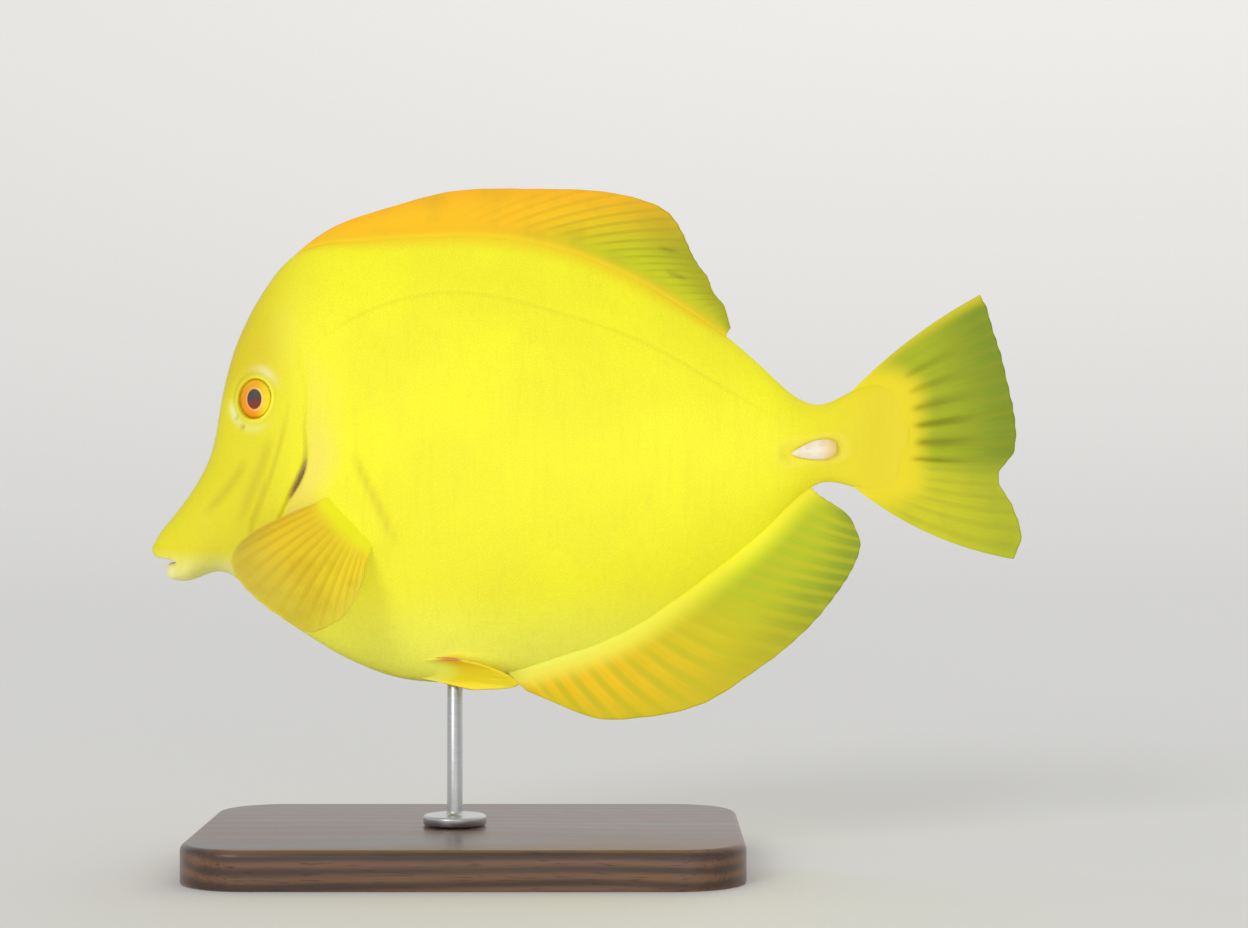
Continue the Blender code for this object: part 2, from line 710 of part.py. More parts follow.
def surface_of(made):
    """The surface of a mesh for measuring."""
    mesh = bmesh.new()
    mesh.from_mesh(made.data)
    tree = BVHTree.FromBMesh(mesh)
    mesh.free()
    return tree


def make_head(surface, skin):
    """Head, lower jaw and gill covers, parted by thin cuts."""
    head = body("head", shoulder=False)
    upper, lower = roll("upper_lip_roll", UPPER_LIP), roll("lower_lip_roll", LOWER_LIP)
    combine(head, upper, "UNION")
    combine(head, lower, "UNION")
    behind = gill_block("behind_gills", 1)
    combine(head, behind, "DIFFERENCE")
    for side in (-1, 1):
        centre, axis = eye_place(surface, side)
        rim = ring_roll("rim", centre + axis * (EYE_SUNK - ORBIT_SUNK), axis, ORBIT_RADIUS,
                        ORBIT_ROLL)
        combine(head, rim, "UNION")
        socket = ellipsoid("socket", centre, axis, EYE_RADIUS + GAP,
                           (EYE_RADIUS * EYE_FLATNESS + GAP) / (EYE_RADIUS + GAP))
        combine(head, socket, "DIFFERENCE")
        discard(rim, socket)
        for x, z, radius in NOSTRILS:
            y = side_reach(surface, x, z, side)
            pit = ellipsoid("pit", (x, y, z), (0, 1, 0), radius, 1.0, 8, 6)
            combine(head, pit, "DIFFERENCE")
            discard(pit)
    jaw = copy_of(head, "lower_jaw")
    jaw_space = jaw_block("jaw_space", LOWER_LIP_LINE, 0.0)
    jaw_room = jaw_block("jaw_room", UPPER_LIP_LINE, GAP)
    combine(jaw, jaw_space, "INTERSECT")
    combine(head, jaw_room, "DIFFERENCE")
    for side, word in ((-1, "left"), (1, "right")):
        cover = copy_of(head, "cover")
        space = cover_block("space", side, 0.0)
        room = cover_block("room", side, GAP)
        combine(cover, space, "INTERSECT")
        combine(head, room, "DIFFERENCE")
        discard(space, room)
        finish(keep_largest(cover), "gill_cover_" + word, skin)
    discard(upper, lower, behind, jaw_space, jaw_room)
    finish(keep_largest(jaw), "lower_jaw", skin)
    finish(keep_largest(head), "head", skin)


def make_torso_and_tail(surface, skin, bone):
    """Torso with the rod's socket, tail with the grooves of its spines, and the spines."""
    torso = body("torso", shoulder=True)
    ahead = gill_block("ahead_of_gills", -1)
    combine(torso, ahead, "DIFFERENCE")
    tail = copy_of(torso, "tail")
    behind, before = tail_block("behind_cut", 1), tail_block("before_cut", -1)
    combine(torso, behind, "DIFFERENCE")
    combine(tail, before, "DIFFERENCE")
    hole = rod("rod_room", GAP)
    combine(torso, hole, "DIFFERENCE")
    for side, word in ((-1, "left"), (1, "right")):
        groove = spine_mesh("groove", surface, side, GAP)
        combine(tail, groove, "DIFFERENCE")
        discard(groove)
        finish(spine_mesh("spine", surface, side, 0.0), "tail_spine_" + word, bone)
    discard(ahead, behind, before, hole)
    finish(keep_largest(torso), "torso", skin)
    finish(keep_largest(tail), "tail", skin)


def make_fins(surface, whole, fin_look):
    """All the fins, each cut clear of the body where it grows from it."""
    room = grown(whole, "body_room", GAP + OFF_CENTRE)
    room.location.y = OFF_CENTRE * MM
    sheets = [
        fin("dorsal_fin", median_keys(DORSAL_KEYS, (0, 1), -ROOT_SINK), DORSAL_LOOK),
        fin("anal_fin", median_keys(ANAL_KEYS, (2, 3), ROOT_SINK), ANAL_LOOK),
        fin("caudal_fin", caudal_keys(), CAUDAL_LOOK, PLEAT_HEIGHT),
    ]
    for side, word in ((-1, "left"), (1, "right")):
        pectoral = paired_keys(PECTORAL_KEYS, surface, side, PECTORAL_SINK)
        sheets.append(fin("pectoral_fin_" + word, pectoral, PECTORAL_LOOK))
        pelvic = paired_keys(PELVIC_KEYS, surface, side, PELVIC_SINK)
        sheets.append(fin("pelvic_fin_" + word, pelvic, PELVIC_LOOK))
    for sheet in sheets:
        combine(sheet, room, "DIFFERENCE")
        finish(keep_largest(sheet), sheet.name, fin_look)
    discard(room)


def main():
    for old in list(bpy.data.objects):
        bpy.data.objects.remove(old)
    skin = material("yellow_skin", "F2E62E", 0.45)
    fin_look = material("yellow_fin", "E6D62A", 0.5)
    bone = material("white_spine", "F4F1E6", 0.4)
    eye = material("eye", "E8A41E", 0.1)
    steel = material("brushed_steel", "B8BABC", 0.3, 1.0)
    wood = material("dark_wood", "4A3524", 0.5)

    whole = body("whole_body", shoulder=False)
    surface = surface_of(whole)
    make_head(surface, skin)
    make_torso_and_tail(surface, skin, bone)
    make_fins(surface, whole, fin_look)
    for side, word in ((-1, "left"), (1, "right")):
        centre, axis = eye_place(surface, side)
        ball = ellipsoid("eye_" + word, centre, axis, EYE_RADIUS, EYE_FLATNESS)
        finish(ball, "eye_" + word, eye)
    discard(whole)
    finish(rod("stand_rod", 0.0), "stand_rod", steel)
    finish(base("stand_base"), "stand_base", wood)


main()
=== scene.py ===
"""Looks of the life-size yellow tang and its stand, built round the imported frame.

Sizes are in millimetres in the fish's own frame, as in the part's source: x runs back from
the tip of the snout, z runs up from the lowest edge of the anal fin, and the left side
faces -y. MM and PLACE put them in the scene.
"""

import math

import bmesh
import bpy
import numpy as np
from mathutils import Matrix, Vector, noise
from mathutils.bvhtree import BVHTree


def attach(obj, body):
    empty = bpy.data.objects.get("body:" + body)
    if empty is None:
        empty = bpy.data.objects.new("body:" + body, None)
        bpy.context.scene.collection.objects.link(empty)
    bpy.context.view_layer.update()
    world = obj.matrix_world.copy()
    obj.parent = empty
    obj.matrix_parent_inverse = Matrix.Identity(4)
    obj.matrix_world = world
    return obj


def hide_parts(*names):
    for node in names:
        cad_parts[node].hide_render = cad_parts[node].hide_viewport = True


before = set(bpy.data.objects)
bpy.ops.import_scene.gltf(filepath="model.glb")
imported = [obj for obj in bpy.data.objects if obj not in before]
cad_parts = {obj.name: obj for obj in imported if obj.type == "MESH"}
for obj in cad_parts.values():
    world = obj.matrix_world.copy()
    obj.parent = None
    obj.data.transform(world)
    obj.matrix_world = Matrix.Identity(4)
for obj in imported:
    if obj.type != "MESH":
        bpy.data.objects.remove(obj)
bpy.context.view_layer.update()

MM = 0.001
TOTAL_LENGTH = 180.0
BASE_THICKNESS = 8.0
FIN_CLEARANCE = 22.0
PLACE = np.array([-TOTAL_LENGTH / 2, 0.0, BASE_THICKNESS + FIN_CLEARANCE])
SIDES = ((-1, "left"), (1, "right"))

# Rings of the skin. Each row holds x and z of its point on the back or upper lip, x and z of
# its point on the belly or lower lip, half its width, the sharpness of the back, where 1 is
# an ellipse, and how far its side points lie behind and above the middle of the two.
MOUTH_ROWS = [
    (6.9, 33.40, 7.4, 32.55, 2.2, 1.0, 1.0, 0.0),
    (4.6, 33.75, 5.7, 32.15, 2.8, 1.0, 1.6, 0.0),
    (2.9, 33.45, 4.6, 32.25, 3.1, 1.0, 2.3, 0.0),
    (1.7, 33.35, 4.0, 32.30, 3.35, 1.0, 2.8, -0.05),
    (0.8, 33.75, 3.5, 31.85, 3.55, 1.0, 3.4, -0.1),
    (0.3, 34.70, 3.25, 30.95, 3.7, 1.0, 4.0, -0.1),
    (0.38, 35.70, 3.3, 29.95, 3.85, 0.97, 4.4, -0.15),
    (0.95, 36.65, 3.9, 29.10, 3.85, 0.92, 4.5, -0.2),
]
BODY_ROWS = [
    (1.5, 37.7, 5.0, 28.75, 4.1, 0.88, 4.3, -0.2),
    (3.9, 40.9, 8.0, 28.65, 4.7, 0.83, 3.0, -0.1),
    (7.4, 45.4, 12.4, 30.2, 5.4, 0.80, 1.6, 0.0),
    (11.0, 51.2, 16.6, 29.8, 6.1, 0.78, 0.6, 0.0),
    (13.4, 58.1, 20.6, 26.1, 6.9, 0.74, 0.1, 0.0),
    (15.1, 67.5, 24.6, 22.7, 7.9, 0.72, 0.0, 0.0),
    (18.3, 78.5, 29.5, 19.3, 9.1, 0.76, 0.0, 0.0),
    (23.2, 88.2, 35.0, 15.7, 10.4, 0.92, 0.0, 0.0),
    (30.8, 96.5, 41.5, 12.1, 11.4, 1.25, 0.0, 0.0),
    (43.6, 99.2, 50.0, 8.9, 12.0, 1.70, 0.0, 0.0),
    (64.7, 100.4, 66.0, 7.9, 12.0, 1.85, 0.0, 0.0),
    (84.0, 97.8, 84.0, 12.0, 11.0, 1.88, 0.0, 0.0),
    (100.6, 91.1, 100.0, 18.5, 9.3, 1.80, 0.0, 0.0),
    (115.1, 82.0, 115.0, 29.0, 7.2, 1.55, 0.0, 0.0),
    (127.5, 71.6, 128.0, 39.8, 5.1, 1.15, 0.0, 0.0),
    (138.8, 65.1, 139.2, 48.9, 3.5, 1.00, 0.0, 0.0),
    (148.0, 69.2, 148.0, 47.1, 1.9, 1.00, 0.0, 0.0),
    (152.0, 69.6, 152.0, 46.9, 1.0, 1.00, 0.0, 0.0),
    (156.5, 67.6, 156.5, 49.0, 0.42, 1.00, 0.0, 0.0),
]
# Sharpness of the belly, and what is added to it over the roots of the anal fin.
BELLY_SHARPNESS = 1.1
BELLY_EDGE = 0.7
# Bulge of the skin's end inside the tail fin.
TAIL_BULGE = 0.2
SKIN_RINGS = 280
SKIN_SIDES = 336
# Points crowd round each ring near the eye: how much, and its place and reach as parts of
# the ring's height.
EYE_CROWDING = 0.8
CROWD_PLACE = 0.76
CROWD_REACH = 0.12
# Distance between rings in the mouth, and along the body as rows of x and distance.
MOUTH_SPACING = 0.16
BODY_SPACING = [(2, 0.24), (12, 0.3), (19, 0.26), (34, 0.3), (40, 0.6), (60, 1.1),
                (120, 1.1), (130, 0.5), (143, 0.4), (157, 0.5)]

# Lines on the skin of each side, as rows of x and z, as the camera sees them.
GILL_LINE = [(22.3, 14.0), (22.9, 26.0), (24.6, 36.0), (28.1, 45.7), (30.8, 51.3),
             (31.6, 55.0), (31.5, 60.0), (31.8, 66.0), (30.4, 75.0), (29.2, 88.0), (28.6, 99.0)]
GILL_OPENING = [(43.5, 0.0), (45, 0.2), (46.2, 0.65), (48, 1.0), (50.5, 1.0), (52.5, 0.7),
                (54.5, 0.3), (58, 0.12), (64, 0.04), (70, 0.0)]
LATERAL_LINE = [(32.9, 76.3), (38.2, 80.6), (45.3, 84.5), (61.8, 88.2), (82.5, 84.5),
                (103.1, 77.3), (117.6, 69.0), (134.1, 59.7)]
# Each fold's points, depth and width.
FOLDS = [
    ([(25.8, 59.8), (24.2, 56.6), (22.9, 52.5), (21.3, 48.2), (19.6, 44.0), (17.2, 38.5)],
     0.17, 1.1),
    ([(19.6, 54.5), (18.4, 51.6), (16.2, 48.2), (13.3, 44.8), (10.0, 41.0)], 0.14, 1.0),
    ([(24.2, 51.0), (23.2, 47.2), (21.8, 42.5), (20.0, 38.0)], 0.16, 0.8),
    ([(26.0, 33.8), (22.2, 34.6), (20.8, 38.0), (22.2, 43.5), (24.8, 50.5), (26.8, 57.5),
      (28.2, 63.5), (29.4, 68.0)], 0.16, 0.5),
    ([(41.6, 57.0), (42.6, 53.4), (46.0, 45.9), (49.0, 39.7), (51.8, 33.5)], 0.22, 0.85),
]
# The gill cover stands proud of the shoulder, which falls away over some distance behind it.
COVER_STEP = 0.15
COVER_FADE = 1.6
SHOULDER_STEP = 0.6
SHOULDER_FADE = 9.0
# The gill slit: its depth, how far it lies behind the cover's edge, its least width and what
# is added to the width where it gapes most.
SLIT_DEPTH = 1.1
SLIT_BEHIND = 0.4
SLIT_WIDTH = 0.26
SLIT_GAPE = 0.26

# The eye is a little taller than wide, and looks somewhat forward.
EYE_CENTRE = (22.4, 66.0)
EYE_RADIUS = 4.3
EYE_WIDE = 0.95
EYE_TALL = 1.06
EYE_FLATNESS = 0.72
EYE_SUNK = 2.0
EYE_AXIS = (-0.36, 0.93, 0.04)
# The skin round the eye, as distances from its middle: the raised rim, the groove outside
# it, the socket between its bottom and its lip, and the pale ring.
RIM_RADIUS = 4.25
RIM_HEIGHT = 0.4
RIM_WIDTH = 0.45
RIM_TINT_WIDTH = 0.36
GROOVE_RADIUS = 5.5
GROOVE_DEPTH = 0.14
GROOVE_WIDTH = 0.6
SOCKET_BOTTOM = 3.45
SOCKET_LIP = 3.95
SOCKET_DEPTH = 2.1
PALE_RADIUS = 5.7
PALE_WIDTH = 0.9
EYE_REACH = 14
# The pupil is upright and oval, about 3 by 4 mm, and lies a little ahead of the middle.
PUPIL_HALF_WIDTH = 1.5
PUPIL_HALF_HEIGHT = 2.05
PUPIL_AHEAD = 0.6
# Rows of x, z and size, and the depth of the holes and the height of their rims.
NOSTRILS = [(17.6, 62.4, 0.4), (18.8, 60.4, 0.5)]
NOSTRIL_DEPTH = 0.6
NOSTRIL_RIM = 0.12

# The root of the pectoral fin, and the height and width of the swelling over it.
PECTORAL_ROOT = [(38.8, 46.2), (43.4, 41.3), (47.6, 36.7)]
SWELLING_HEIGHT = 0.5
SWELLING_WIDTH = 2.4
# Soft muscle under the skin: size and height of its swellings.
MUSCLE_SIZE = 9.0
MUSCLE_HEIGHT = 0.07

# Fins of the middle line: rows of x of a ray's root, and x and z of its tip.
DORSAL_KEYS = [(26.8, 27.4, 93.4), (29.8, 31.8, 97.7), (33.2, 37.6, 101.6),
               (39.1, 49.0, 105.7), (45.0, 61.0, 108.9), (51.5, 73.5, 109.7),
               (57.7, 85.0, 109.6), (63.0, 95.0, 108.9), (67.5, 102.8, 107.0),
               (73.0, 107.8, 104.0), (78.5, 110.2, 100.3), (84.0, 111.7, 96.8),
               (90.0, 113.4, 93.7), (96.0, 115.3, 91.0), (101.5, 116.3, 88.2),
               (107.0, 118.0, 86.2), (112.0, 118.8, 84.6), (117.8, 119.8, 80.8)]
ANAL_KEYS = [(72.1, 77.9, 5.7), (77.5, 84.8, 2.7), (82.0, 92.6, 0.0), (86.5, 100.4, 0.1),
             (91.5, 109.0, 1.4), (96.0, 116.7, 4.3), (100.5, 123.9, 9.0), (105.0, 130.5, 13.9),
             (111.5, 138.0, 21.0), (117.5, 142.5, 26.8), (123.5, 145.5, 31.8),
             (128.0, 146.7, 36.2), (131.5, 145.6, 39.6), (133.8, 142.3, 43.6),
             (135.0, 138.0, 45.8)]
# How far the roots on the back and the belly lie inside the body.
ROOT_SINK = 3.0
# The tail fin's root from its upper to its lower end, and rows of a ray's place along it from
# 0 to 1 and x and z of its tip.
CAUDAL_ROOT = ((143.6, 66.5), (143.6, 49.3))
CAUDAL_KEYS = [(0.0, 171.5, 87.8), (0.05, 172.7, 85.6), (0.12, 173.9, 81.6), (0.26, 176.2, 74.2),
               (0.40, 178.0, 65.8), (0.53, 179.1, 58.8), (0.585, 178.5, 55.2), (0.64, 176.8, 52.8),
               (0.69, 175.4, 50.6), (0.745, 175.9, 47.9), (0.81, 177.8, 45.0), (0.88, 179.3, 41.2),
               (0.945, 180.0, 37.0), (1.0, 178.4, 33.0)]
# Paired fins: rows of x and z of a ray's root, x and z of its tip, and how far out it ends.
PECTORAL_KEYS = [(38.9, 46.0, 24.1, 39.1, 27.0), (39.5, 45.4, 21.4, 36.3, 29.5),
                 (40.1, 44.8, 20.6, 33.3, 31.0), (40.8, 44.0, 22.3, 30.0, 33.0),
                 (41.6, 43.1, 25.2, 26.9, 34.0), (42.5, 42.2, 29.0, 23.8, 33.5),
                 (43.4, 41.3, 32.7, 21.1, 31.5), (44.2, 40.4, 36.3, 19.4, 28.5),
                 (45.1, 39.5, 40.0, 20.9, 24.5), (45.9, 38.6, 42.7, 23.2, 21.5),
                 (46.5, 38.0, 44.3, 26.4, 18.5), (47.1, 37.3, 45.3, 29.7, 16.0)]
PELVIC_KEYS = [(52.0, 12.4, 63.7, 12.8, 6.4), (52.3, 11.5, 70.7, 11.0, 5.6),
               (52.7, 10.7, 75.8, 8.2, 4.6), (53.1, 10.0, 74.6, 6.7, 4.0),
               (53.5, 9.4, 66.8, 6.3, 3.4)]
# How far the roots of the paired fins lie inside the body.
PECTORAL_SINK = 2.0
PELVIC_SINK = 1.3

# How a fin is made: rays, unbranched spines in front, columns of points per ray, rows along
# the rays; half thickness at the free edge, what is added to it at the skin and at most inside
# it, what is added over the fleshy lobe, and the lobe's length as a part of the rays; height
# of the ridge over a ray, depth of the notch between two ray tips and bend of the first and
# the last ray as parts of their length, and the height of soft waves.
DORSAL_LOOK = {"rays": 30, "spines": 5, "columns": 12, "rows": 48, "edge": 0.13,
               "root": (0.1, 0.9), "flesh": 0.0, "lobe": 0.1, "ridge": 0.13, "notch": 0.004,
               "bend": (0.04, 0.04), "wave": 0.22}
ANAL_LOOK = dict(DORSAL_LOOK, rays=23, spines=3, columns=14, ridge=0.12)
CAUDAL_LOOK = dict(DORSAL_LOOK, rays=18, spines=0, columns=16, rows=72, root=(0.1, 0.15),
                   ridge=0.16, notch=0.005, bend=(0.04, -0.068), wave=0.15)
PECTORAL_LOOK = dict(DORSAL_LOOK, rays=15, spines=1, columns=14, flesh=0.5, lobe=0.2,
                     ridge=0.1, notch=0.006, bend=(0.02, 0.04), wave=0.12)
PELVIC_LOOK = dict(DORSAL_LOOK, rays=6, spines=1, rows=36, root=(0.05, 0.1), flesh=0.05,
                   lobe=0.15, ridge=0.14, notch=0.008, bend=(0.02, -0.02), wave=0.05)

# The two forks of a soft ray: the parts of its length between which each spreads, and how
# far. Then the ridge's width at its root and what it loses towards its tip. How far and how
# wide are parts of the distance between two rays.
FORKS = ((0.35, 0.95, 0.22), (0.65, 1.05, 0.11))
RIDGE_WIDTH = 0.19
RIDGE_TAPER = 0.12
# Each ray ends a little short of the outline: the least and the most, as parts of its length.
UNEVEN_TIPS = (0.003, 0.007)
# What is added to half the thickness of a fin where it leaves the skin, and the distances over
# which that and the fillet fade.
ROOT_THICK = 0.2
ROOT_FADE = 3.5
FILLET_FADE = 0.8

# The tail fin is pleated as it beats, with sharper folds in its middle: place of the first
# fold and distance between folds as parts of the root's length, height, and width as a part
# of the distance.
PLEAT_HEIGHT = 0.45
PLEATS = 3.5
FIRST_FOLD = 0.16
FOLD_STEP = 0.0935
FOLD_HEIGHT = 0.5
FOLD_WIDTH = 0.2
# Shaded creases in the rear of the fin on the back, as rows of x and z.
DORSAL_CREASES = [[(104.0, 97.5), (107.0, 96.9), (109.6, 96.2)],
                  [(105.6, 92.7), (108.8, 91.6), (111.6, 90.6)]]

# The spine on each side of the tail, and how far its middle stands out of the skin.
SPINE_TIP = (132.0, 54.8)
SPINE_MIDDLE = (136.5, 55.7)
SPINE_ROOT = (141.4, 56.0)
SPINE_HALF_HEIGHT = 2.0
SPINE_HALF_THICK = 1.0
SPINE_OUT = 0.35
# The bed in the skin that the spine lies in, and the low rim round it: its height, its
# distance from the spine's middle line and its width.
SHEATH_DEPTH = 0.7
SHEATH_WIDTH = 1.6
SHEATH_RIM = 0.12
SHEATH_RIM_PLACE = 2.9
SHEATH_RIM_WIDTH = 0.9

# The stand: a wooden base, and a steel rod with a flange at its foot.
BASE_SIZE = (112.0, 80.0)
BASE_CENTRE_X = 66.0
BASE_CORNER = 14.0
ROD_X = 62.8
BASE_ROUND = 1.5
# The base's lower edge, as rows of inset and height.
BASE_FOOT = [(0.5, 0.0), (0.15, 0.15), (0.0, 0.5)]
BASE_STEPS = 24
ROD_RADIUS = 1.6
ROD_IN_BODY = 7.0
ROD_FILLET = 0.8
ROD_BEVEL = 0.4
ROD_SIDES = 72
FLANGE_RADIUS = 6.5
FLANGE_HEIGHT = 2.0
FLANGE_ROUND = 0.6
FLANGE_EASE = 0.15
# The flange stands this far over the base, so that the two don't touch.
GAP = 0.3

# The photograph's frame is 1248 by 928 pixels, and the fish is 871 of them long.
FRAME_WIDTH = 1248
PIXEL = TOTAL_LENGTH / 871
# The x and z that the camera looks at, from the floor below the middle of the fish's length.
FRAME_CENTRE = np.array([7.75, 82.7])
LENS = 85.0
SENSOR = 36.0
CAMERA_DISTANCE = LENS / SENSOR * FRAME_WIDTH * PIXEL

# The studio, in metres: its round floor is flat, then sweeps up into a wall. Wide soft
# lights: where each one stands, how wide it looks in radians, and its strength.
FLOOR_CENTRE = 0.3
FLOOR_RADIUS = 1.2
SWEEP_RADIUS = 0.6
WALL_TOP = 2.6
FLOOR_SIDES = 128
LIGHTS_AIM = (0.0, 0.0, 0.08)
LIGHTS = [("key_light", (-0.55, -0.95, 0.6), 0.4, 0.75),
          ("fill_light", (0.3, -1.05, 0.12), 0.6, 0.54),
          ("top_light", (0.15, 0.3, 0.95), 0.7, 0.3),
          ("back_light", (0.5, 1.2, 0.5), 0.7, 0.4),
          ("low_light", (-0.3, -0.75, -0.6), 1.2, 0.85)]
ROOM_LIGHT = 0.61


def smooth(low, high, value):
    """A soft step from 0 at low to 1 at high."""
    t = np.clip((value - low) / (high - low), 0, 1)
    return t * t * (3 - 2 * t)


def hump(value, width):
    """A soft hump of height 1 round 0."""
    return np.exp(-(value / width) ** 2)


def spline(knots, values):
    """The natural cubic curve through values at knots, as a function."""
    knots = np.asarray(knots, float)
    values = np.asarray(values, float)
    values = values.reshape(len(knots), -1)
    step = np.diff(knots)[:, None]
    slope = np.diff(values, axis=0) / step
    system = np.eye(len(knots))
    right = np.zeros_like(values)
    for i in range(1, len(knots) - 1):
        before, after = step[i - 1, 0], step[i, 0]
        system[i, i - 1:i + 2] = before, 2 * (before + after), after
        right[i] = 6 * (slope[i] - slope[i - 1])
    bend = np.linalg.solve(system, right)

    def curve(t):
        t = np.atleast_1d(np.asarray(t, float))
        i = np.clip(np.searchsorted(knots, t, side="right") - 1, 0, len(knots) - 2)
        h = step[i]
        low = (knots[i + 1] - t)[:, None]
        high = (t - knots[i])[:, None]
        cubic = (bend[i] * low ** 3 + bend[i + 1] * high ** 3) / (6 * h)
        line = (values[i] / h - bend[i] * h / 6) * low
        line += (values[i + 1] / h - bend[i + 1] * h / 6) * high
        return cubic + line

    return curve


def lengths(points):
    """The running length along a row of points, from 0."""
    steps = np.linalg.norm(np.diff(np.asarray(points, float), axis=0), axis=1)
    return np.concatenate([[0.0], np.cumsum(steps)])


def quarter_turn(count):
    """Angles evenly spaced over a quarter of a circle."""
    return np.radians(np.linspace(0, 90, count))


def turned_points(profile, sides, x=0.0):
    """Points of a profile of radius and z, turned round an upright axis at x."""
    turns = [2 * math.pi * j / sides for j in range(sides)]
    return [(x + radius * math.cos(a), radius * math.sin(a), z)
            for radius, z in profile for a in turns]


def line_points(line, count=60):
    """Points along the smooth curve through a few points."""
    knots = lengths(line)
    return spline(knots, line)(np.linspace(0, knots[-1], count))


def line_distance(spots, line):
    """Distance of points in x and z to a curve, and the place along it from 0 to 1."""
    curve = line_points(line)
    nearest = np.full(len(spots), 1e9)
    place = np.zeros(len(spots))
    for i, (start, end) in enumerate(zip(curve[:-1], curve[1:])):
        run = end - start
        t = np.clip((spots - start) @ run / (run @ run), 0, 1)
        gap = np.linalg.norm(spots - start - t[:, None] * run, axis=1)
        closer = gap < nearest
        nearest = np.where(closer, gap, nearest)
        place = np.where(closer, (i + t) / (len(curve) - 1), place)
    return nearest, place


def as_seen(points):
    """Places in x and z where the camera sees points of either side."""
    centre = FRAME_CENTRE - PLACE[[0, 2]]
    growth = CAMERA_DISTANCE / (CAMERA_DISTANCE - np.abs(points[:, 1]))
    return centre + (points[:, [0, 2]] - centre) * growth[:, None]


def new_object(name, points, faces, marks=None):
    """A smooth object from points in the fish's frame, with its marks as attributes."""
    mesh = bpy.data.meshes.new(name)
    placed = (np.asarray(points, float) + PLACE) * MM
    mesh.from_pydata(placed.tolist(), [], faces)
    for mark, values in (marks or {}).items():
        layer = mesh.attributes.new(mark, "FLOAT", "POINT")
        layer.data.foreach_set("value", np.asarray(values, np.float32).ravel())
    mesh.update()
    made = bpy.data.objects.new(name, mesh)
    bpy.context.collection.objects.link(made)
    turn_outward(made)
    mesh.shade_smooth()
    return made


def turn_outward(made):
    """Turn the faces of a closed mesh outward."""
    mesh = bmesh.new()
    mesh.from_mesh(made.data)
    if mesh.calc_volume(signed=True) < 0:
        bmesh.ops.reverse_faces(mesh, faces=mesh.faces)
        mesh.to_mesh(made.data)
    mesh.free()


def tube_faces(rings, sides, first_pole=False, last_pole=False):
    """Faces of a closed tube of rings; a pole is one more point after the rings."""
    faces = []
    for i in range(rings - 1):
        for j in range(sides):
            k = (j + 1) % sides
            faces.append((i * sides + j, i * sides + k, (i + 1) * sides + k,
                          (i + 1) * sides + j))
    last = (rings - 1) * sides
    pole = rings * sides
    if first_pole:
        faces += [(pole, (j + 1) % sides, j) for j in range(sides)]
        pole += 1
    else:
        faces.append(tuple(reversed(range(sides))))
    if last_pole:
        faces += [(pole, last + j, last + (j + 1) % sides) for j in range(sides)]
    else:
        faces.append(tuple(range(last, last + sides)))
    return faces


def add_piece(made, slot, material, *nodes):
    """Give a piece its material and its body, and hide the nodes it stands for; slot is not used.
    """
    made.data.materials.append(material)
    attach(made, "root")
    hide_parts(*nodes)


def ring_curve(rows):
    """The places of rows of rings along the body, and the smooth curve through them."""
    table = np.array(rows, float)
    knots = (lengths(table[:, :2]) + lengths(table[:, 2:4])) / 2
    return knots, spline(knots, table)


def skin_rows():
    """The rows of the skin's rings, closest where the shape is finest."""
    knots, curve = ring_curve(MOUTH_ROWS + BODY_ROWS)
    fine = np.linspace(0, knots[-1], 6000)
    rows = curve(fine)
    middle = (rows[:, 0] + rows[:, 2]) / 2
    places, steps = np.array(BODY_SPACING, float).T
    spacing = np.where(fine < knots[len(MOUTH_ROWS)], MOUTH_SPACING,
                       np.interp(middle, places, steps))
    count = np.concatenate([[0.0], np.cumsum(np.diff(fine) / spacing[1:])])
    return curve(np.interp(np.linspace(0, count[-1], SKIN_RINGS), count, fine))


def ring_points(row, angle):
    """Points of one ring at angles from the back over the left side to the belly."""
    rise = (1 + np.cos(angle)) / 2
    side = np.sin(angle)
    back, belly, shift = row[[0, 1]], row[[2, 3]], row[[6, 7]]
    spot = belly + (back - belly) * rise[:, None] + shift * (side ** 2)[:, None]
    edge = BELLY_EDGE * smooth(60, 85, row[2]) * (1 - smooth(125, 140, row[2]))
    power = row[5] * rise + (BELLY_SHARPNESS + edge) * (1 - rise)
    width = row[4] * np.abs(side) ** power
    return np.column_stack([spot[:, 0], width * np.sign(side), spot[:, 1]]), rise


def skin_grid():
    """The smooth skin as a grid of points: rings by sides, evenly spaced round each ring."""
    fine = np.linspace(0, math.pi, 500)
    grid = []
    for row in skin_rows():
        points, rise = ring_points(row, fine)
        step = np.linalg.norm(np.diff(points, axis=0), axis=1)
        step *= 1 + EYE_CROWDING * hump(rise[1:] - CROWD_PLACE, CROWD_REACH)
        run = np.concatenate([[0.0], np.cumsum(step)])
        half = np.interp(np.linspace(0, run[-1], SKIN_SIDES // 2 + 1), run, fine)
        angle = np.concatenate([half, 2 * math.pi - half[-2:0:-1]])
        grid.append(ring_points(row, angle)[0])
    return np.array(grid)


def grid_normals(grid):
    """Outward unit normals of the skin's grid."""
    along = np.gradient(grid, axis=0)
    around = np.roll(grid, -1, axis=1) - np.roll(grid, 1, axis=1)
    normal = np.cross(along, around)
    normal /= np.maximum(np.linalg.norm(normal, axis=2), 1e-9)[:, :, None]
    middle = grid.mean(axis=1, keepdims=True)
    outward = np.sum(normal * (grid - middle), axis=2).mean()
    return normal if outward > 0 else -normal


def gill_side(x, z):
    """How far a point lies behind the edge of the gill cover."""
    curve = line_points(GILL_LINE, 200)
    return x - np.interp(z, curve[:, 1], curve[:, 0])


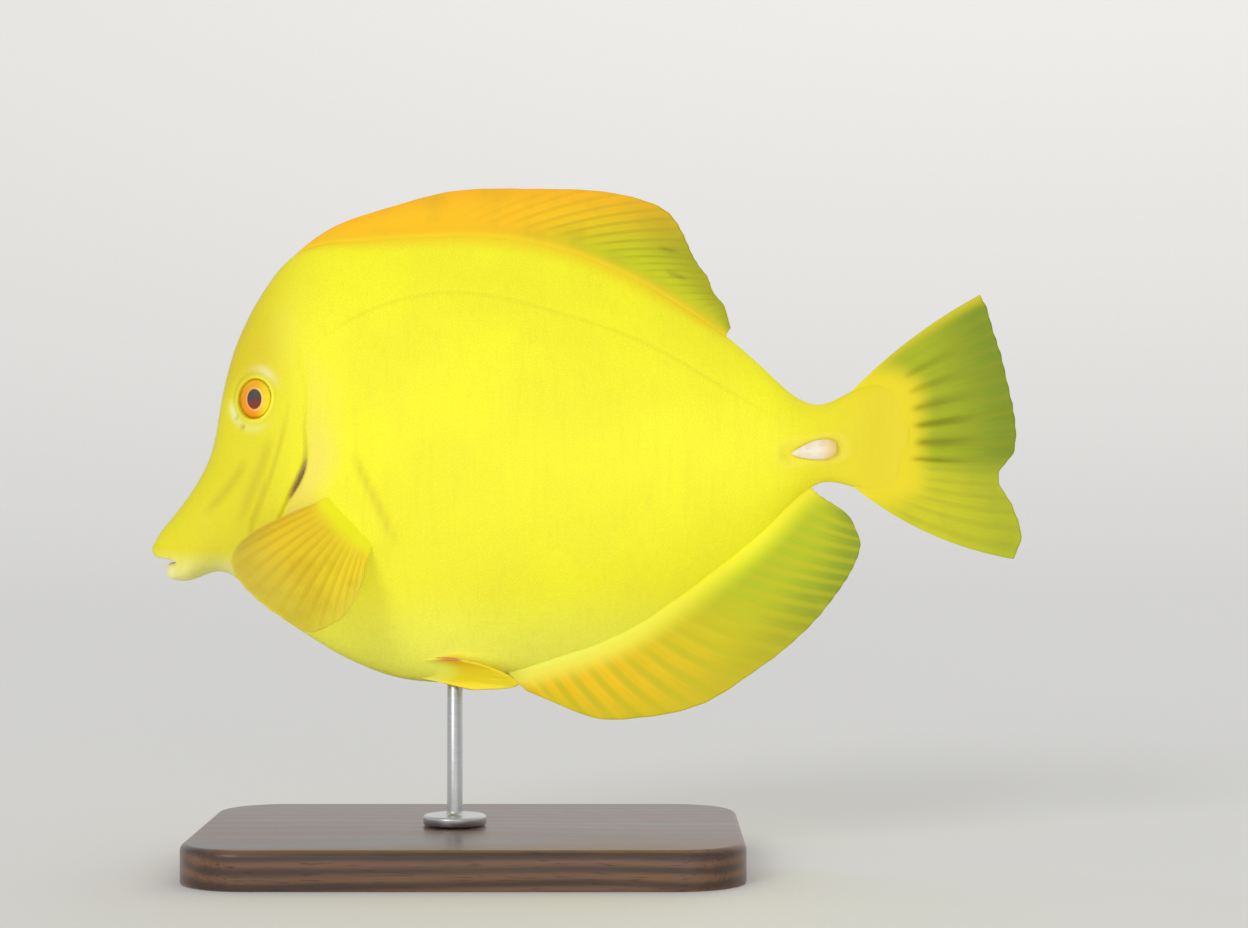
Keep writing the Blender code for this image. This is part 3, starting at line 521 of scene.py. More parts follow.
def eye_place(surface, side):
    """Centre of one eye and its directions: across, up and outward."""
    x, z = EYE_CENTRE
    axis = Vector((EYE_AXIS[0], side * EYE_AXIS[1], EYE_AXIS[2])).normalized()
    up = (Vector((0, 0, 1)) - axis * axis.z).normalized()
    spot = Vector((x, side_reach(surface, x, z, side), z))
    return np.array(spot - axis * EYE_SUNK), np.array([up.cross(axis), up, axis])


def side_reach(surface, x, z, side):
    """How far the skin reaches to one side at x and z: y with its sign."""
    start = Vector((x, side * 100.0, z))
    spot = surface.ray_cast(start, Vector((0, -side, 0)))[0]
    return spot.y if spot else 0.0


def grid_surface(grid):
    """The surface of a skin grid for measuring, in the fish's frame."""
    faces = tube_faces(*grid.shape[:2])
    return BVHTree.FromPolygons(grid.reshape(-1, 3).tolist(), faces)


def gill_relief(marks, x, z, wide):
    """The gill cover stands a little proud of the shoulder, and its slit opens below."""
    behind = gill_side(x, z)
    reach = smooth(14, 22, z) * (1 - smooth(66, 80, z)) * wide
    height = reach * COVER_STEP * np.exp(np.minimum(behind, 0) / COVER_FADE) * (behind < 0.1)
    shoulder = SHOULDER_STEP * np.clip(1 - behind / SHOULDER_FADE, 0, 1) ** 2
    height -= reach * shoulder * smooth(-0.05, 0.25, behind) * (1 - 0.8 * smooth(54, 68, z))
    opened = np.interp(z, *np.array(GILL_OPENING).T)
    slit = opened * hump(behind - SLIT_BEHIND, SLIT_WIDTH + SLIT_GAPE * opened)
    # The slit's mark is painted shade inside the gill slit.
    marks["slit"] = np.clip(1.25 * slit, 0, 1)
    marks["pink"] = reach * smooth(0.2, 1.5, behind) * (1 - smooth(3, 10, behind)) \
        * smooth(34, 44, z) * (1 - 0.6 * smooth(54, 66, z)) * (1 - smooth(70, 82, z))
    return height - SLIT_DEPTH * slit


def fold_relief(marks, seen):
    """Soft folds of the cheek, the cover's front and the shoulder, and the lateral line."""
    height = np.zeros(len(seen))
    crease = np.zeros(len(seen))
    for line, depth, width in FOLDS:
        gap, place = line_distance(seen, line)
        ends = smooth(0, 0.25, place) * (1 - smooth(0.7, 1, place))
        height -= depth * hump(gap, width) * ends
        height += 0.4 * depth * hump(gap - 2.2 * width, width) * ends
        # The folds' crease mark is painted shade; the lateral line below takes a weaker share of
        # the same darkening.
        crease = np.maximum(crease, hump(gap, width) * ends)
    gap, place = line_distance(seen, LATERAL_LINE)
    ends = smooth(0, 0.1, place) * (1 - smooth(0.8, 1, place))
    marks["crease"] = np.maximum(crease, 0.4 * hump(gap, 0.35) * ends)
    return height - 0.06 * hump(gap, 0.3) * ends


def eye_relief(marks, points, surface):
    """The rim of each eye, its socket and the pale skin round it."""
    height = np.zeros(len(points))
    marks.update({name: np.zeros(len(points)) for name in ("rim", "socket", "pale")})
    for side, _ in SIDES:
        centre, directions = eye_place(surface, side)
        across, up, _ = directions @ (points - centre).T
        radius = np.hypot(across / EYE_WIDE, up / EYE_TALL)
        turn = np.arctan2(up, across * np.sign(directions[0, 0]))
        here = (points[:, 1] * side > 0) & (radius < EYE_REACH)
        height += here * RIM_HEIGHT * hump(radius - RIM_RADIUS, RIM_WIDTH)
        height -= here * GROOVE_DEPTH * hump(radius - GROOVE_RADIUS, GROOVE_WIDTH)
        height -= here * SOCKET_DEPTH * (1 - smooth(SOCKET_BOTTOM, SOCKET_LIP, radius))
        rear = 0.55 + 0.45 * np.cos(turn)
        tint = here * hump(radius - RIM_RADIUS, RIM_TINT_WIDTH) * rear
        marks["rim"] = np.maximum(marks["rim"], tint)
        # The socket's mark is painted shade in the recess round the eyeball.
        deep = 1 - smooth(3.65, SOCKET_LIP, radius)
        marks["socket"] = np.maximum(marks["socket"], here * deep)
        # The pale ring is in three arcs: above and a little behind the eye, ahead of and below
        # it, and a weaker one right below it.
        spread = 0.8 * hump(turn - 1.15, 0.5) + 0.9 * hump(turn + 2.6, 0.45) \
            + 0.4 * hump(turn + 1.6, 0.5)
        ring = hump(radius - PALE_RADIUS, PALE_WIDTH)
        marks["pale"] = np.maximum(marks["pale"], here * ring * spread)
    return height


def skin_relief(points, surface):
    """Height of the relief at each point of the skin, and marks for its colours."""
    marks = {}
    seen = as_seen(points)
    x, z = seen.T
    y = np.abs(points[:, 1])
    height = gill_relief(marks, x, z, smooth(5.5, 7.0, y))
    height += fold_relief(marks, seen) * smooth(2.0, 4.0, y)
    marks["crease"] *= smooth(2.0, 4.0, y)
    height += eye_relief(marks, points, surface)
    for nostril_x, nostril_z, size in NOSTRILS:
        hole = np.hypot(x - nostril_x, z - nostril_z)
        height += NOSTRIL_RIM * hump(hole - 1.5 * size, 0.3) - NOSTRIL_DEPTH * hump(hole, size)
        # Painted shade inside each nostril, in the slit's mark.
        marks["slit"] = np.maximum(marks["slit"], 0.4 * hump(hole, 0.7 * size))

    # Lips and throat, the root of the pectoral fin, the sheath of the spine, soft muscle.
    lip = (1 - smooth(3.2, 5.4, x)) * (1 - smooth(30.8, 32.4, z))
    throat = hump(y, 7.0) * (1 - smooth(31.0, 35.5, z)) * (1 - smooth(16, 26, x))
    marks["pale"] = np.clip(marks["pale"] + 0.9 * lip + 0.7 * throat, 0, 1)
    # The mouth's mark is painted shade in the gap between the lips.
    marks["mouth"] = smooth(3.0, 4.6, x) * (1 - smooth(2.6, 3.6, y)) \
        * hump(z - 32.9, 0.9) * (x < 8.2)
    gap, _ = line_distance(points[:, [0, 2]], PECTORAL_ROOT)
    height += SWELLING_HEIGHT * hump(gap, SWELLING_WIDTH) * (y > 4)
    gap, _ = line_distance(points[:, [0, 2]], [SPINE_TIP, SPINE_MIDDLE, SPINE_ROOT])
    sheath = (y > 1.5) * (x > 125)
    rim = SHEATH_RIM * hump(gap - SHEATH_RIM_PLACE, SHEATH_RIM_WIDTH)
    height += sheath * (rim - SHEATH_DEPTH * hump(gap, SHEATH_WIDTH))
    marks["sheath"] = sheath * hump(gap - SHEATH_WIDTH, 1.4)
    soft = np.array([noise.fractal(Vector(p / MUSCLE_SIZE), 1.0, 2.0, 3) for p in points])
    height += MUSCLE_HEIGHT * soft * smooth(4, 12, x) * (1 - smooth(140, 150, x))
    middle = 1 - smooth(0.4, 2.4, y)
    # The back's mark tints the top edge over the fin's root: partly the root's own orange, partly
    # painted shade over the edge that catches the top light.
    marks["back"] = middle * smooth(60, 72, z) * smooth(26, 34, x) * (1 - smooth(112, 122, x))
    return height, marks


def build_skin(grid, surface, material):
    """One skin over head, jaw, gill covers, trunk and root of the tail."""
    rings, sides = grid.shape[:2]
    points = grid.reshape(-1, 3)
    height, marks = skin_relief(points, surface)
    points = points + grid_normals(grid).reshape(-1, 3) * height[:, None]
    last = grid[-1]
    middle = last.mean(axis=0)
    dome = []
    for turn in np.radians([22, 45, 68]):
        bulge = np.array([TAIL_BULGE * math.sin(turn), 0, 0])
        dome.append(middle + (last - middle) * math.cos(turn) + bulge)
    throat = grid[0].mean(axis=0) + np.array([0.8, 0, 0])
    poles = [throat, middle + np.array([TAIL_BULGE, 0, 0])]
    extra = np.concatenate(dome + [poles])
    marks = {name: np.concatenate([values, np.zeros(len(extra))])
             for name, values in marks.items()}
    points = np.concatenate([points, extra])
    skin = new_object("skin", points, tube_faces(rings + len(dome), sides, True, True), marks)
    add_piece(skin, "skin", material, "head", "lower_jaw", "gill_cover_left",
              "gill_cover_right", "torso", "tail")


def ray_crests(place, offset, branched):
    """The ridge profile of a ray that forks twice: place along it, offset across it."""
    first, second = (np.where(branched, spread * smooth(low, high, place), 0)
                     for low, high, spread in FORKS)
    width = RIDGE_WIDTH - RIDGE_TAPER * place * np.where(branched, 1, 0.6)
    crest = np.zeros_like(offset)
    for a in (-1, 1):
        for b in (-1, 1):
            crest = np.maximum(crest, hump(offset - a * first - b * second, width))
    return crest


def skin_distance(surface, points):
    """How far points stand off the skin, below 0 inside it."""
    far = Vector((90.0, -200.0, 50.0))
    spot, normal, _, _ = surface.find_nearest(far)
    outward = math.copysign(1, (far - spot).dot(normal))
    gaps = []
    for point in points:
        spot, normal, _, gap = surface.find_nearest(Vector(point))
        gaps.append(math.copysign(gap, (Vector(point) - spot).dot(normal) * outward))
    return np.array(gaps)


def fin_mesh(name, keys, look, surface, seed, lift=None, creases=()):
    """A thin fin through key rays of root and tip points, its rays raised on both faces."""
    keys = np.array(keys, float)
    knots = lengths(keys[:, :3])
    draw = np.random.default_rng(seed)
    last = look["rays"] - 1
    ray = np.linspace(0, last, last * look["columns"] + 1)
    across = ray / last
    down = np.linspace(0, 1, look["rows"] + 1) ** 0.9
    place, offset = np.meshgrid(down, ray - np.round(ray), indexing="ij")

    rays = spline(knots, keys)(across * knots[-1])
    root, tip = rays[:, :3], rays[:, 3:]
    uneven = np.interp(ray, np.arange(last + 1), draw.uniform(*UNEVEN_TIPS, last + 1))
    reach = 1 - look["notch"] * (1 - hump(offset[0], 0.3)) - uneven
    along = (tip - root) * reach[:, None]
    normal = np.cross(np.gradient(root, axis=0), along)
    normal /= np.linalg.norm(normal, axis=1)[:, None]
    first_bend, last_bend = look["bend"]
    bend = (first_bend + (last_bend - first_bend) * across)[None, :]
    bow = bend * 4 * place * (1 - place)
    soft = np.interp(ray, np.arange(last + 1), draw.uniform(-1, 1, last + 1))
    wave = look["wave"] * soft[None, :] * place ** 2
    valley = np.zeros_like(place)
    if lift:
        more, valley = lift(place, across[None, :])
        wave = wave + more
    sheet = root + along * place[:, :, None] + np.cross(normal, along) * bow[:, :, None]
    sheet = sheet + normal * wave[:, :, None]
    # Creases are only painted: their lines add painted shade to the fold mark.
    for crease in creases:
        gap, run = line_distance(sheet.reshape(-1, 3)[:, [0, 2]], crease)
        dash = hump(gap, 0.5) * smooth(0, 0.4, run) * (1 - smooth(0.6, 1, run))
        valley = np.maximum(valley, 0.7 * dash.reshape(place.shape))

    rise = skin_distance(surface, sheet.reshape(-1, 3)).reshape(place.shape)
    lobe = 1 - smooth(0.6 * look["lobe"], 1.4 * look["lobe"], place)
    free = smooth(0.3, 5, rise) * (1 - lobe)
    crest = free * ray_crests(place, offset, (np.round(ray) >= look["spines"])[None, :])
    fillet, deepest = look["root"]
    half = look["edge"] + ROOT_THICK * np.exp(-np.maximum(rise, 0) / ROOT_FADE)
    half = half + np.minimum(fillet * np.exp(-rise / FILLET_FADE), deepest)
    half = half + look["flesh"] * lobe + look["ridge"] * crest * (1 - 0.7 * place)
    half = half * (1 - 0.5 * smooth(0.94, 1, place))
    out = np.cross(np.gradient(sheet, axis=1), np.gradient(sheet, axis=0))
    out *= (half / np.linalg.norm(out, axis=2))[:, :, None]
    band = np.broadcast_to(0.5 + 0.5 * np.cos(2 * math.pi * ray), place.shape)
    marks = {"along": place, "across": np.broadcast_to(across, place.shape), "rise": rise,
             "crest": crest, "band": band, "fold": valley, "lobe": lobe}
    marks = {mark: np.tile(values.reshape(-1), 2) for mark, values in marks.items()}
    points = np.concatenate([(sheet + out).reshape(-1, 3), (sheet - out).reshape(-1, 3)])
    return new_object(name, points, sheet_faces(*place.shape), marks)


def tail_folds(place, across):
    """Height of the tail fin's pleats and folds, and how deep in a fold each point is, for the
    painted shade in the folds.
    """
    window = smooth(0.08, 0.18, across) * (1 - smooth(0.6, 0.7, across))
    window = window * smooth(0.38, 0.46, place) * (1 - smooth(0.56, 0.86, place))
    turn = (across - FIRST_FOLD) / FOLD_STEP
    fold = hump(turn - np.round(turn), FOLD_WIDTH) * (0.55 + 0.45 * smooth(0.22, 0.45, across))
    pleats = PLEAT_HEIGHT * np.sin(2 * math.pi * PLEATS * across) * place ** 2
    return pleats - FOLD_HEIGHT * (fold - 0.3) * window, fold * window


def sheet_faces(rows, columns):
    """Faces of a closed sheet whose lower grid of points follows the upper one."""
    lower = rows * columns
    faces = []
    for i in range(rows - 1):
        for j in range(columns - 1):
            a, b = i * columns + j, i * columns + j + 1
            c, d = b + columns, a + columns
            faces += [(a, b, c, d), (a + lower, d + lower, c + lower, b + lower)]
    rim = list(range(columns))
    rim += [i * columns + columns - 1 for i in range(1, rows)]
    rim += [(rows - 1) * columns + j for j in range(columns - 2, -1, -1)]
    rim += [i * columns for i in range(rows - 2, 0, -1)]
    faces += [(a, a + lower, b + lower, b) for a, b in zip(rim, rim[1:] + rim[:1])]
    return faces


def outline_height(columns, x):
    """Height of the back (columns 0, 1) or belly (columns 2, 3) at x."""
    knots, curve = ring_curve(BODY_ROWS)
    rows = curve(np.linspace(0, knots[-1], 400))
    return float(np.interp(x, rows[:, columns[0]], rows[:, columns[1]]))


def median_keys(keys, columns, sink):
    """Root and tip points of a fin in the middle plane, its roots inside the body."""
    return [(x, 0, outline_height(columns, x) + sink, tip_x, 0, tip_z)
            for x, tip_x, tip_z in keys]


def caudal_keys():
    """Root and tip points of the tail fin."""
    top, low = np.array(CAUDAL_ROOT, float)
    rows = []
    for place, tip_x, tip_z in CAUDAL_KEYS:
        x, z = top + (low - top) * place
        rows.append((x, 0, z, tip_x, 0, tip_z))
    return rows


def paired_keys(keys, surface, side, sink):
    """Root and tip points of a paired fin, its roots inside the body."""
    rows = []
    for x, z, tip_x, tip_z, out in keys:
        y = side_reach(surface, x, z, side) - side * sink
        rows.append((x, y, z, tip_x, side * out, tip_z))
    return rows


def build_fins(surface, skins):
    """The fins of the middle line and the paired fins."""
    dorsal = fin_mesh("fin_dorsal", median_keys(DORSAL_KEYS, (0, 1), -ROOT_SINK),
                      DORSAL_LOOK, surface, 11, creases=DORSAL_CREASES)
    add_piece(dorsal, "fin", skins["dorsal"], "dorsal_fin")
    anal = fin_mesh("fin_anal", median_keys(ANAL_KEYS, (2, 3), ROOT_SINK), ANAL_LOOK,
                    surface, 12)
    add_piece(anal, "fin", skins["anal"], "anal_fin")
    caudal = fin_mesh("fin_caudal", caudal_keys(), CAUDAL_LOOK, surface, 13, tail_folds)
    add_piece(caudal, "fin", skins["caudal"], "caudal_fin")
    for side, word in SIDES:
        keys = paired_keys(PECTORAL_KEYS, surface, side, PECTORAL_SINK)
        pectoral = fin_mesh("fin_pectoral_" + word, keys, PECTORAL_LOOK, surface, 14)
        add_piece(pectoral, "fin", skins["pectoral"], "pectoral_fin_" + word)
        keys = paired_keys(PELVIC_KEYS, surface, side, PELVIC_SINK)
        pelvic = fin_mesh("fin_pelvic_" + word, keys, PELVIC_LOOK, surface, 15)
        add_piece(pelvic, "fin", skins["pelvic"], "pelvic_fin_" + word)


def build_eyes(surface, material):
    """Each eye as a flattened ball with its iris and pupil marked by place."""
    segments, rows = 96, 64
    for side, word in SIDES:
        centre, directions = eye_place(surface, side)
        size = EYE_RADIUS * np.array([EYE_WIDE, EYE_TALL, EYE_FLATNESS])
        rings = []
        for polar in np.linspace(0, math.pi, rows + 1)[1:-1]:
            turn = 2 * math.pi * np.arange(segments) / segments
            rings.append(np.column_stack([math.sin(polar) * np.cos(turn),
                                          math.sin(polar) * np.sin(turn),
                                          np.full(segments, math.cos(polar))]))
        unit = np.concatenate(rings + [np.array([[0, 0, 1.0], [0, 0, -1.0]])])
        away = (unit * size) @ directions
        radius = EYE_RADIUS * np.where(unit[:, 2] > 0, np.hypot(unit[:, 0], unit[:, 1]), 1)
        marks = {"iris": radius, "up": away[:, 2], "back": away[:, 0]}
        ball = new_object("eyeball_" + word, centre + away,
                          tube_faces(rows - 1, segments, True, True), marks)
        add_piece(ball, "eye", material, "eye_" + word)


def build_spines(surface, material):
    """The white spine on each side of the tail, its point towards the head."""
    sides, count = 28, 40
    tip, root = np.array(SPINE_TIP), np.array(SPINE_ROOT)
    for side, word in SIDES:
        points, marks = [], []
        for i in range(count):
            place = i / (count - 1)
            x, z = tip + (root - tip) * place
            y = side_reach(surface, x, z, side) + side * (SPINE_OUT - 0.25 * (1 - place))
            size = math.sin(math.pi * min(0.5, place * 0.62)) ** 0.8
            size *= 1 - 0.45 * max(0.0, (place - 0.75) / 0.25) ** 2
            rise = 0.9 * math.sin(math.pi * min(1, place * 1.25)) * size
            for j in range(sides):
                angle = 2 * math.pi * j / sides
                up = (SPINE_HALF_HEIGHT * size + 0.05) * math.cos(angle)
                out = (SPINE_HALF_THICK * size + 0.05) * math.sin(angle)
                up += rise * 0.35 * max(0.0, math.cos(angle)) ** 2
                out *= 1 - 0.35 * abs(math.cos(angle)) ** 2
                points.append((x, y + out, z + up))
                marks.append(place)
        spine = new_object("spine_" + word, points, tube_faces(count, sides),
                           {"place": marks})
        add_piece(spine, "spine", material, "tail_spine_" + word)


def build_rod(material):
    """The stand's rod with its turned flange."""
    foot = -FIN_CLEARANCE + GAP
    deck = foot + FLANGE_HEIGHT
    top = outline_height((2, 3), ROD_X) + ROD_IN_BODY
    outline = [(FLANGE_RADIUS - FLANGE_EASE, foot), (FLANGE_RADIUS, foot + FLANGE_EASE)]
    for turn in quarter_turn(8):
        outline.append((FLANGE_RADIUS + FLANGE_ROUND * (math.cos(turn) - 1),
                        deck + FLANGE_ROUND * (math.sin(turn) - 1)))
    for turn in quarter_turn(10):
        outline.append((ROD_RADIUS + ROD_FILLET * (1 - math.sin(turn)),
                        deck + ROD_FILLET * (1 - math.cos(turn))))
    outline += [(ROD_RADIUS, top - ROD_BEVEL), (ROD_RADIUS - ROD_BEVEL, top)]
    rod = new_object("display_rod", turned_points(outline, ROD_SIDES, ROD_X),
                     tube_faces(len(outline), ROD_SIDES))
    add_piece(rod, "rod", material, "stand_rod")


def build_base(material):
    """The flat wooden base, its upper edge rounded over and its lower edge eased."""
    profile = list(BASE_FOOT)
    for turn in quarter_turn(9):
        profile.append((BASE_ROUND * (1 - math.cos(turn)),
                        BASE_THICKNESS + BASE_ROUND * (math.sin(turn) - 1)))
    points = []
    for inset, z in profile:
        radius = BASE_CORNER - inset
        for corner, (sx, sy) in enumerate(((1, 1), (-1, 1), (-1, -1), (1, -1))):
            for turn in quarter_turn(BASE_STEPS) + corner * math.pi / 2:
                x = sx * (BASE_SIZE[0] / 2 - BASE_CORNER) + radius * math.cos(turn)
                y = sy * (BASE_SIZE[1] / 2 - BASE_CORNER) + radius * math.sin(turn)
                points.append((BASE_CENTRE_X + x, y, z - FIN_CLEARANCE - BASE_THICKNESS))
    base = new_object("display_base", points, tube_faces(len(profile), 4 * BASE_STEPS))
    add_piece(base, "base", material, "stand_base")


def linear(hex_colour):
    """The linear RGBA of an sRGB hex colour."""
    levels = [int(hex_colour[i:i + 2], 16) / 255 for i in (0, 2, 4)]
    return [c / 12.92 if c <= 0.04045 else ((c + 0.055) / 1.055) ** 2.4
            for c in levels] + [1.0]


def add(tree, kind, inputs=None, **settings):
    """Add a node with its settings; inputs maps a socket to a value or to an output."""
    node = tree.nodes.new("ShaderNode" + kind)
    for name, value in settings.items():
        setattr(node, name, value)
    for name, value in (inputs or {}).items():
        if isinstance(value, bpy.types.NodeSocket):
            tree.links.new(value, node.inputs[name])
        else:
            node.inputs[name].default_value = value
    return node


def mark(tree, name):
    """The output of an attribute of the mesh."""
    return add(tree, "Attribute", attribute_name=name).outputs["Fac"]


def times(tree, a, b):
    """The product of two values."""
    return add(tree, "Math", {0: a, 1: b}, operation="MULTIPLY").outputs[0]


def blend(tree, factor, base, top):
    """Base and top colours, each an output or a hex colour, mixed by a factor."""
    base, top = (linear(c) if isinstance(c, str) else c for c in (base, top))
    return add(tree, "Mix", {0: factor, 6: base, 7: top}, data_type="RGBA").outputs[2]


def ranged(tree, value, low, high, to_low=0.0, to_high=1.0):
    """A value mapped smoothly from one range to another."""
    node = add(tree, "MapRange", {0: value, 1: low, 2: high, 3: to_low, 4: to_high},
               interpolation_type="SMOOTHSTEP")
    return node.outputs[0]


def millimetres(tree, stretch=(1.0, 1.0, 1.0)):
    """Places from the floor below the middle of the fish, in millimetres, stretched."""
    spot = add(tree, "TexCoord").outputs["Object"]
    scale = tuple(1000 * s for s in stretch)
    return add(tree, "Mapping", {"Vector": spot, "Scale": scale}).outputs[0]


def new_material(name):
    """A material, its node tree and its shader."""
    made = bpy.data.materials.new(name)
    made.use_nodes = True
    return made, made.node_tree, made.node_tree.nodes["Principled BSDF"]


def set_shader(tree, shader, colour, bump=None, **values):
    """Give a shader its colour, its bump and the values of its own sockets."""
    tree.links.new(colour, shader.inputs["Base Color"])
    if bump:
        tree.links.new(bump, shader.inputs["Normal"])
    for name, value in values.items():
        shader.inputs[name.replace("_", " ")].default_value = value


def skin_colours(tree, place):
    """The yellow of the body: purer on the flank; greener and duller on the head, and darker still
    at the brow, as painted shade; paler on the belly, partly as painted light.

    Here lengths run from the middle of the fish, its snout at -90, and heights from the floor.
    """
    split = add(tree, "SeparateXYZ", {0: place})
    along, height = split.outputs["X"], split.outputs["Z"]
    cloud = add(tree, "TexNoise", {"Vector": place, "Scale": 0.05, "Detail": 2.0}).outputs["Fac"]
    colour = blend(tree, ranged(tree, cloud, 0.35, 0.7), "FBF71C", "F7F022")
    # Painted shade: the head turns duller and darker than the flank.
    head = ranged(tree, along, -50.0, -70.0)
    colour = blend(tree, times(tree, head, 0.85), colour, "DFD31C")
    # Painted shade: the brow is darker still, on the forehead above the eye.
    painted_brow_shade = times(tree, ranged(tree, along, -58.0, -68.0), ranged(tree, height, 94.0, 102.0))
    painted_brow_shade = times(tree, painted_brow_shade, ranged(tree, height, 120.0, 106.0, 0.15, 0.6))
    colour = blend(tree, painted_brow_shade, colour, "D8BE1A")
    colour = blend(tree, ranged(tree, along, 34.0, 62.0, 0.0, 0.85), colour, "E4CE1A")
    # Partly painted light: the belly turns paler.
    belly = ranged(tree, height, 60.0, 38.0)
    return blend(tree, times(tree, belly, 0.9), colour, "FFFF64")


def living_skin():
    """Wet fish skin: a thin clear film of slime over lemon-yellow pigment and fine scales.

    The eye sees an even strong yellow with soft broad gloss, and up close a velvet grain.
    """
    made, tree, shader = new_material("wet_fish_skin")
    place = millimetres(tree)
    colour = skin_colours(tree, place)
    # Faint upright streaks, about 1 mm apart, over the flank.
    streaks = add(tree, "TexNoise", {"Vector": millimetres(tree, (0.85, 0.85, 0.06)),
                                     "Scale": 1.0, "Detail": 2.0}).outputs["Fac"]
    colour = blend(tree, ranged(tree, streaks, 0.45, 0.75, 0.0, 0.1), colour, "E0CC1E")
    # Scales of a tang are about 0.4 mm; they are drawn at 0.7 mm, or they would not show.
    scales = add(tree, "TexVoronoi", {"Vector": place, "Scale": 1.45},
                 feature="DISTANCE_TO_EDGE").outputs["Distance"]
    along = add(tree, "SeparateXYZ", {0: place}).outputs["X"]
    scaled = ranged(tree, along, 62.0, 50.0)
    dark = times(tree, ranged(tree, scales, 0.22, 0.0, 0.0, 0.1), scaled)
    colour = blend(tree, dark, colour, "CDB41E")
    # Painted shade among these tints: the crease in the folds, the gap of the mouth, the eye's
    # socket, the gill slit and the nostrils, and in part the back's edge over the fin's root.
    tints = [("back", "F4C814", 0.6), ("pink", "F2CE82", 0.36), ("sheath", "F3D66A", 0.2),
             ("pale", "EEF2BE", 0.62), ("rim", "FFF63E", 0.9), ("crease", "BFA41C", 0.36),
             ("mouth", "8A5A34", 0.8), ("socket", "8A7A1C", 0.9), ("slit", "845460", 0.88)]
    for name, tint, strength in tints:
        colour = blend(tree, times(tree, mark(tree, name), strength), colour, tint)
    grain = add(tree, "Bump", {"Strength": times(tree, scaled, 0.3), "Distance": 0.0001,
                               "Height": ranged(tree, scales, 0.0, 0.3)})
    bump = add(tree, "Bump", {"Strength": 0.15, "Distance": 0.0003, "Height": streaks,
                              "Normal": grain.outputs[0]})
    set_shader(tree, shader, colour, bump.outputs[0], Roughness=0.5, IOR=1.36,
               Subsurface_Weight=0.12, Subsurface_Scale=0.0012,
               Subsurface_Radius=(1.0, 0.7, 0.12), Coat_Weight=0.18, Coat_Roughness=0.3,
               Coat_IOR=1.34)
    return made


# Colours of each fin: its first and last rays, their free edges, the painted shade in the folds,
# the leading ray, and the web between rays with its share, its width from 0 to 1 and what is left
# of it at the margin; then the parts of the fin's length between which first turns to last, and
# the heights in millimetres over the skin between which the skin's own yellow turns to the fin's
# colours. Only some fins have the rest: the parts of the length between which the web comes
# into view, a line along the root, and a tint of the skin at the root, which on the back is partly
# painted shade, each with its share.
FIN_COLOURS = {
    "dorsal": {"first": "F6BE08", "last": "C2C60C", "edges": ("F2AE0C", "9A9C10"),
               "fold": "6E5A12", "lead": "F4AE0C", "web": "A2980A", "share": 0.5,
               "wide": 0.55, "margin": 0.7, "turn": (0.36, 0.64), "rise": (-1.2, 1.8),
               "shown": (0.2, 0.6), "seam": ("D2A418", 0.12), "root": ("F4C212", 0.75)},
    "anal": {"first": "FACC0C", "last": "B2C016", "edges": ("E0CA14", "7C8E1A"),
             "fold": "7A7414", "lead": "F4C418", "web": "C4BE10", "share": 0.62,
             "wide": 0.7, "margin": 0.6, "turn": (0.15, 0.7), "rise": (-1.0, 5.5),
             "seam": ("FAE060", 0.15)},
    # The tail fin's lower rays are lighter as painted light, where the lower lobe catches the
    # light.
    "caudal": {"first": "A6B212", "last": "CAC61A", "edges": ("6A8216", "A4AE1C"),
               "fold": "5A5210", "lead": "C8C020", "web": "96981A", "share": 0.25,
               "wide": 0.6, "margin": 1.0, "turn": (0.58, 0.74), "rise": (0.0, 6.0)},
    "pectoral": {"first": "F6D228", "last": "FCDE2C", "edges": ("D4C246", "E6D642"),
                 "fold": "B98E1C", "lead": "EEC83C", "web": "C29A14", "share": 0.3,
                 "wide": 0.7, "margin": 0.25, "turn": (0.3, 0.7), "rise": (0.5, 3.0)},
    # The fin under the belly has its yellows raised, partly as painted light, for it faces down
    # and gets little light.
    "pelvic": {"first": "FFC81C", "last": "FFE226", "edges": ("FFE22C", "FFEA2E"),
               "fold": "B98E1C", "lead": "E28A48", "web": "E6CC20", "share": 0.3,
               "wide": 0.5, "margin": 0.8, "turn": (0.1, 0.5), "rise": (-0.4, 0.9)},
}


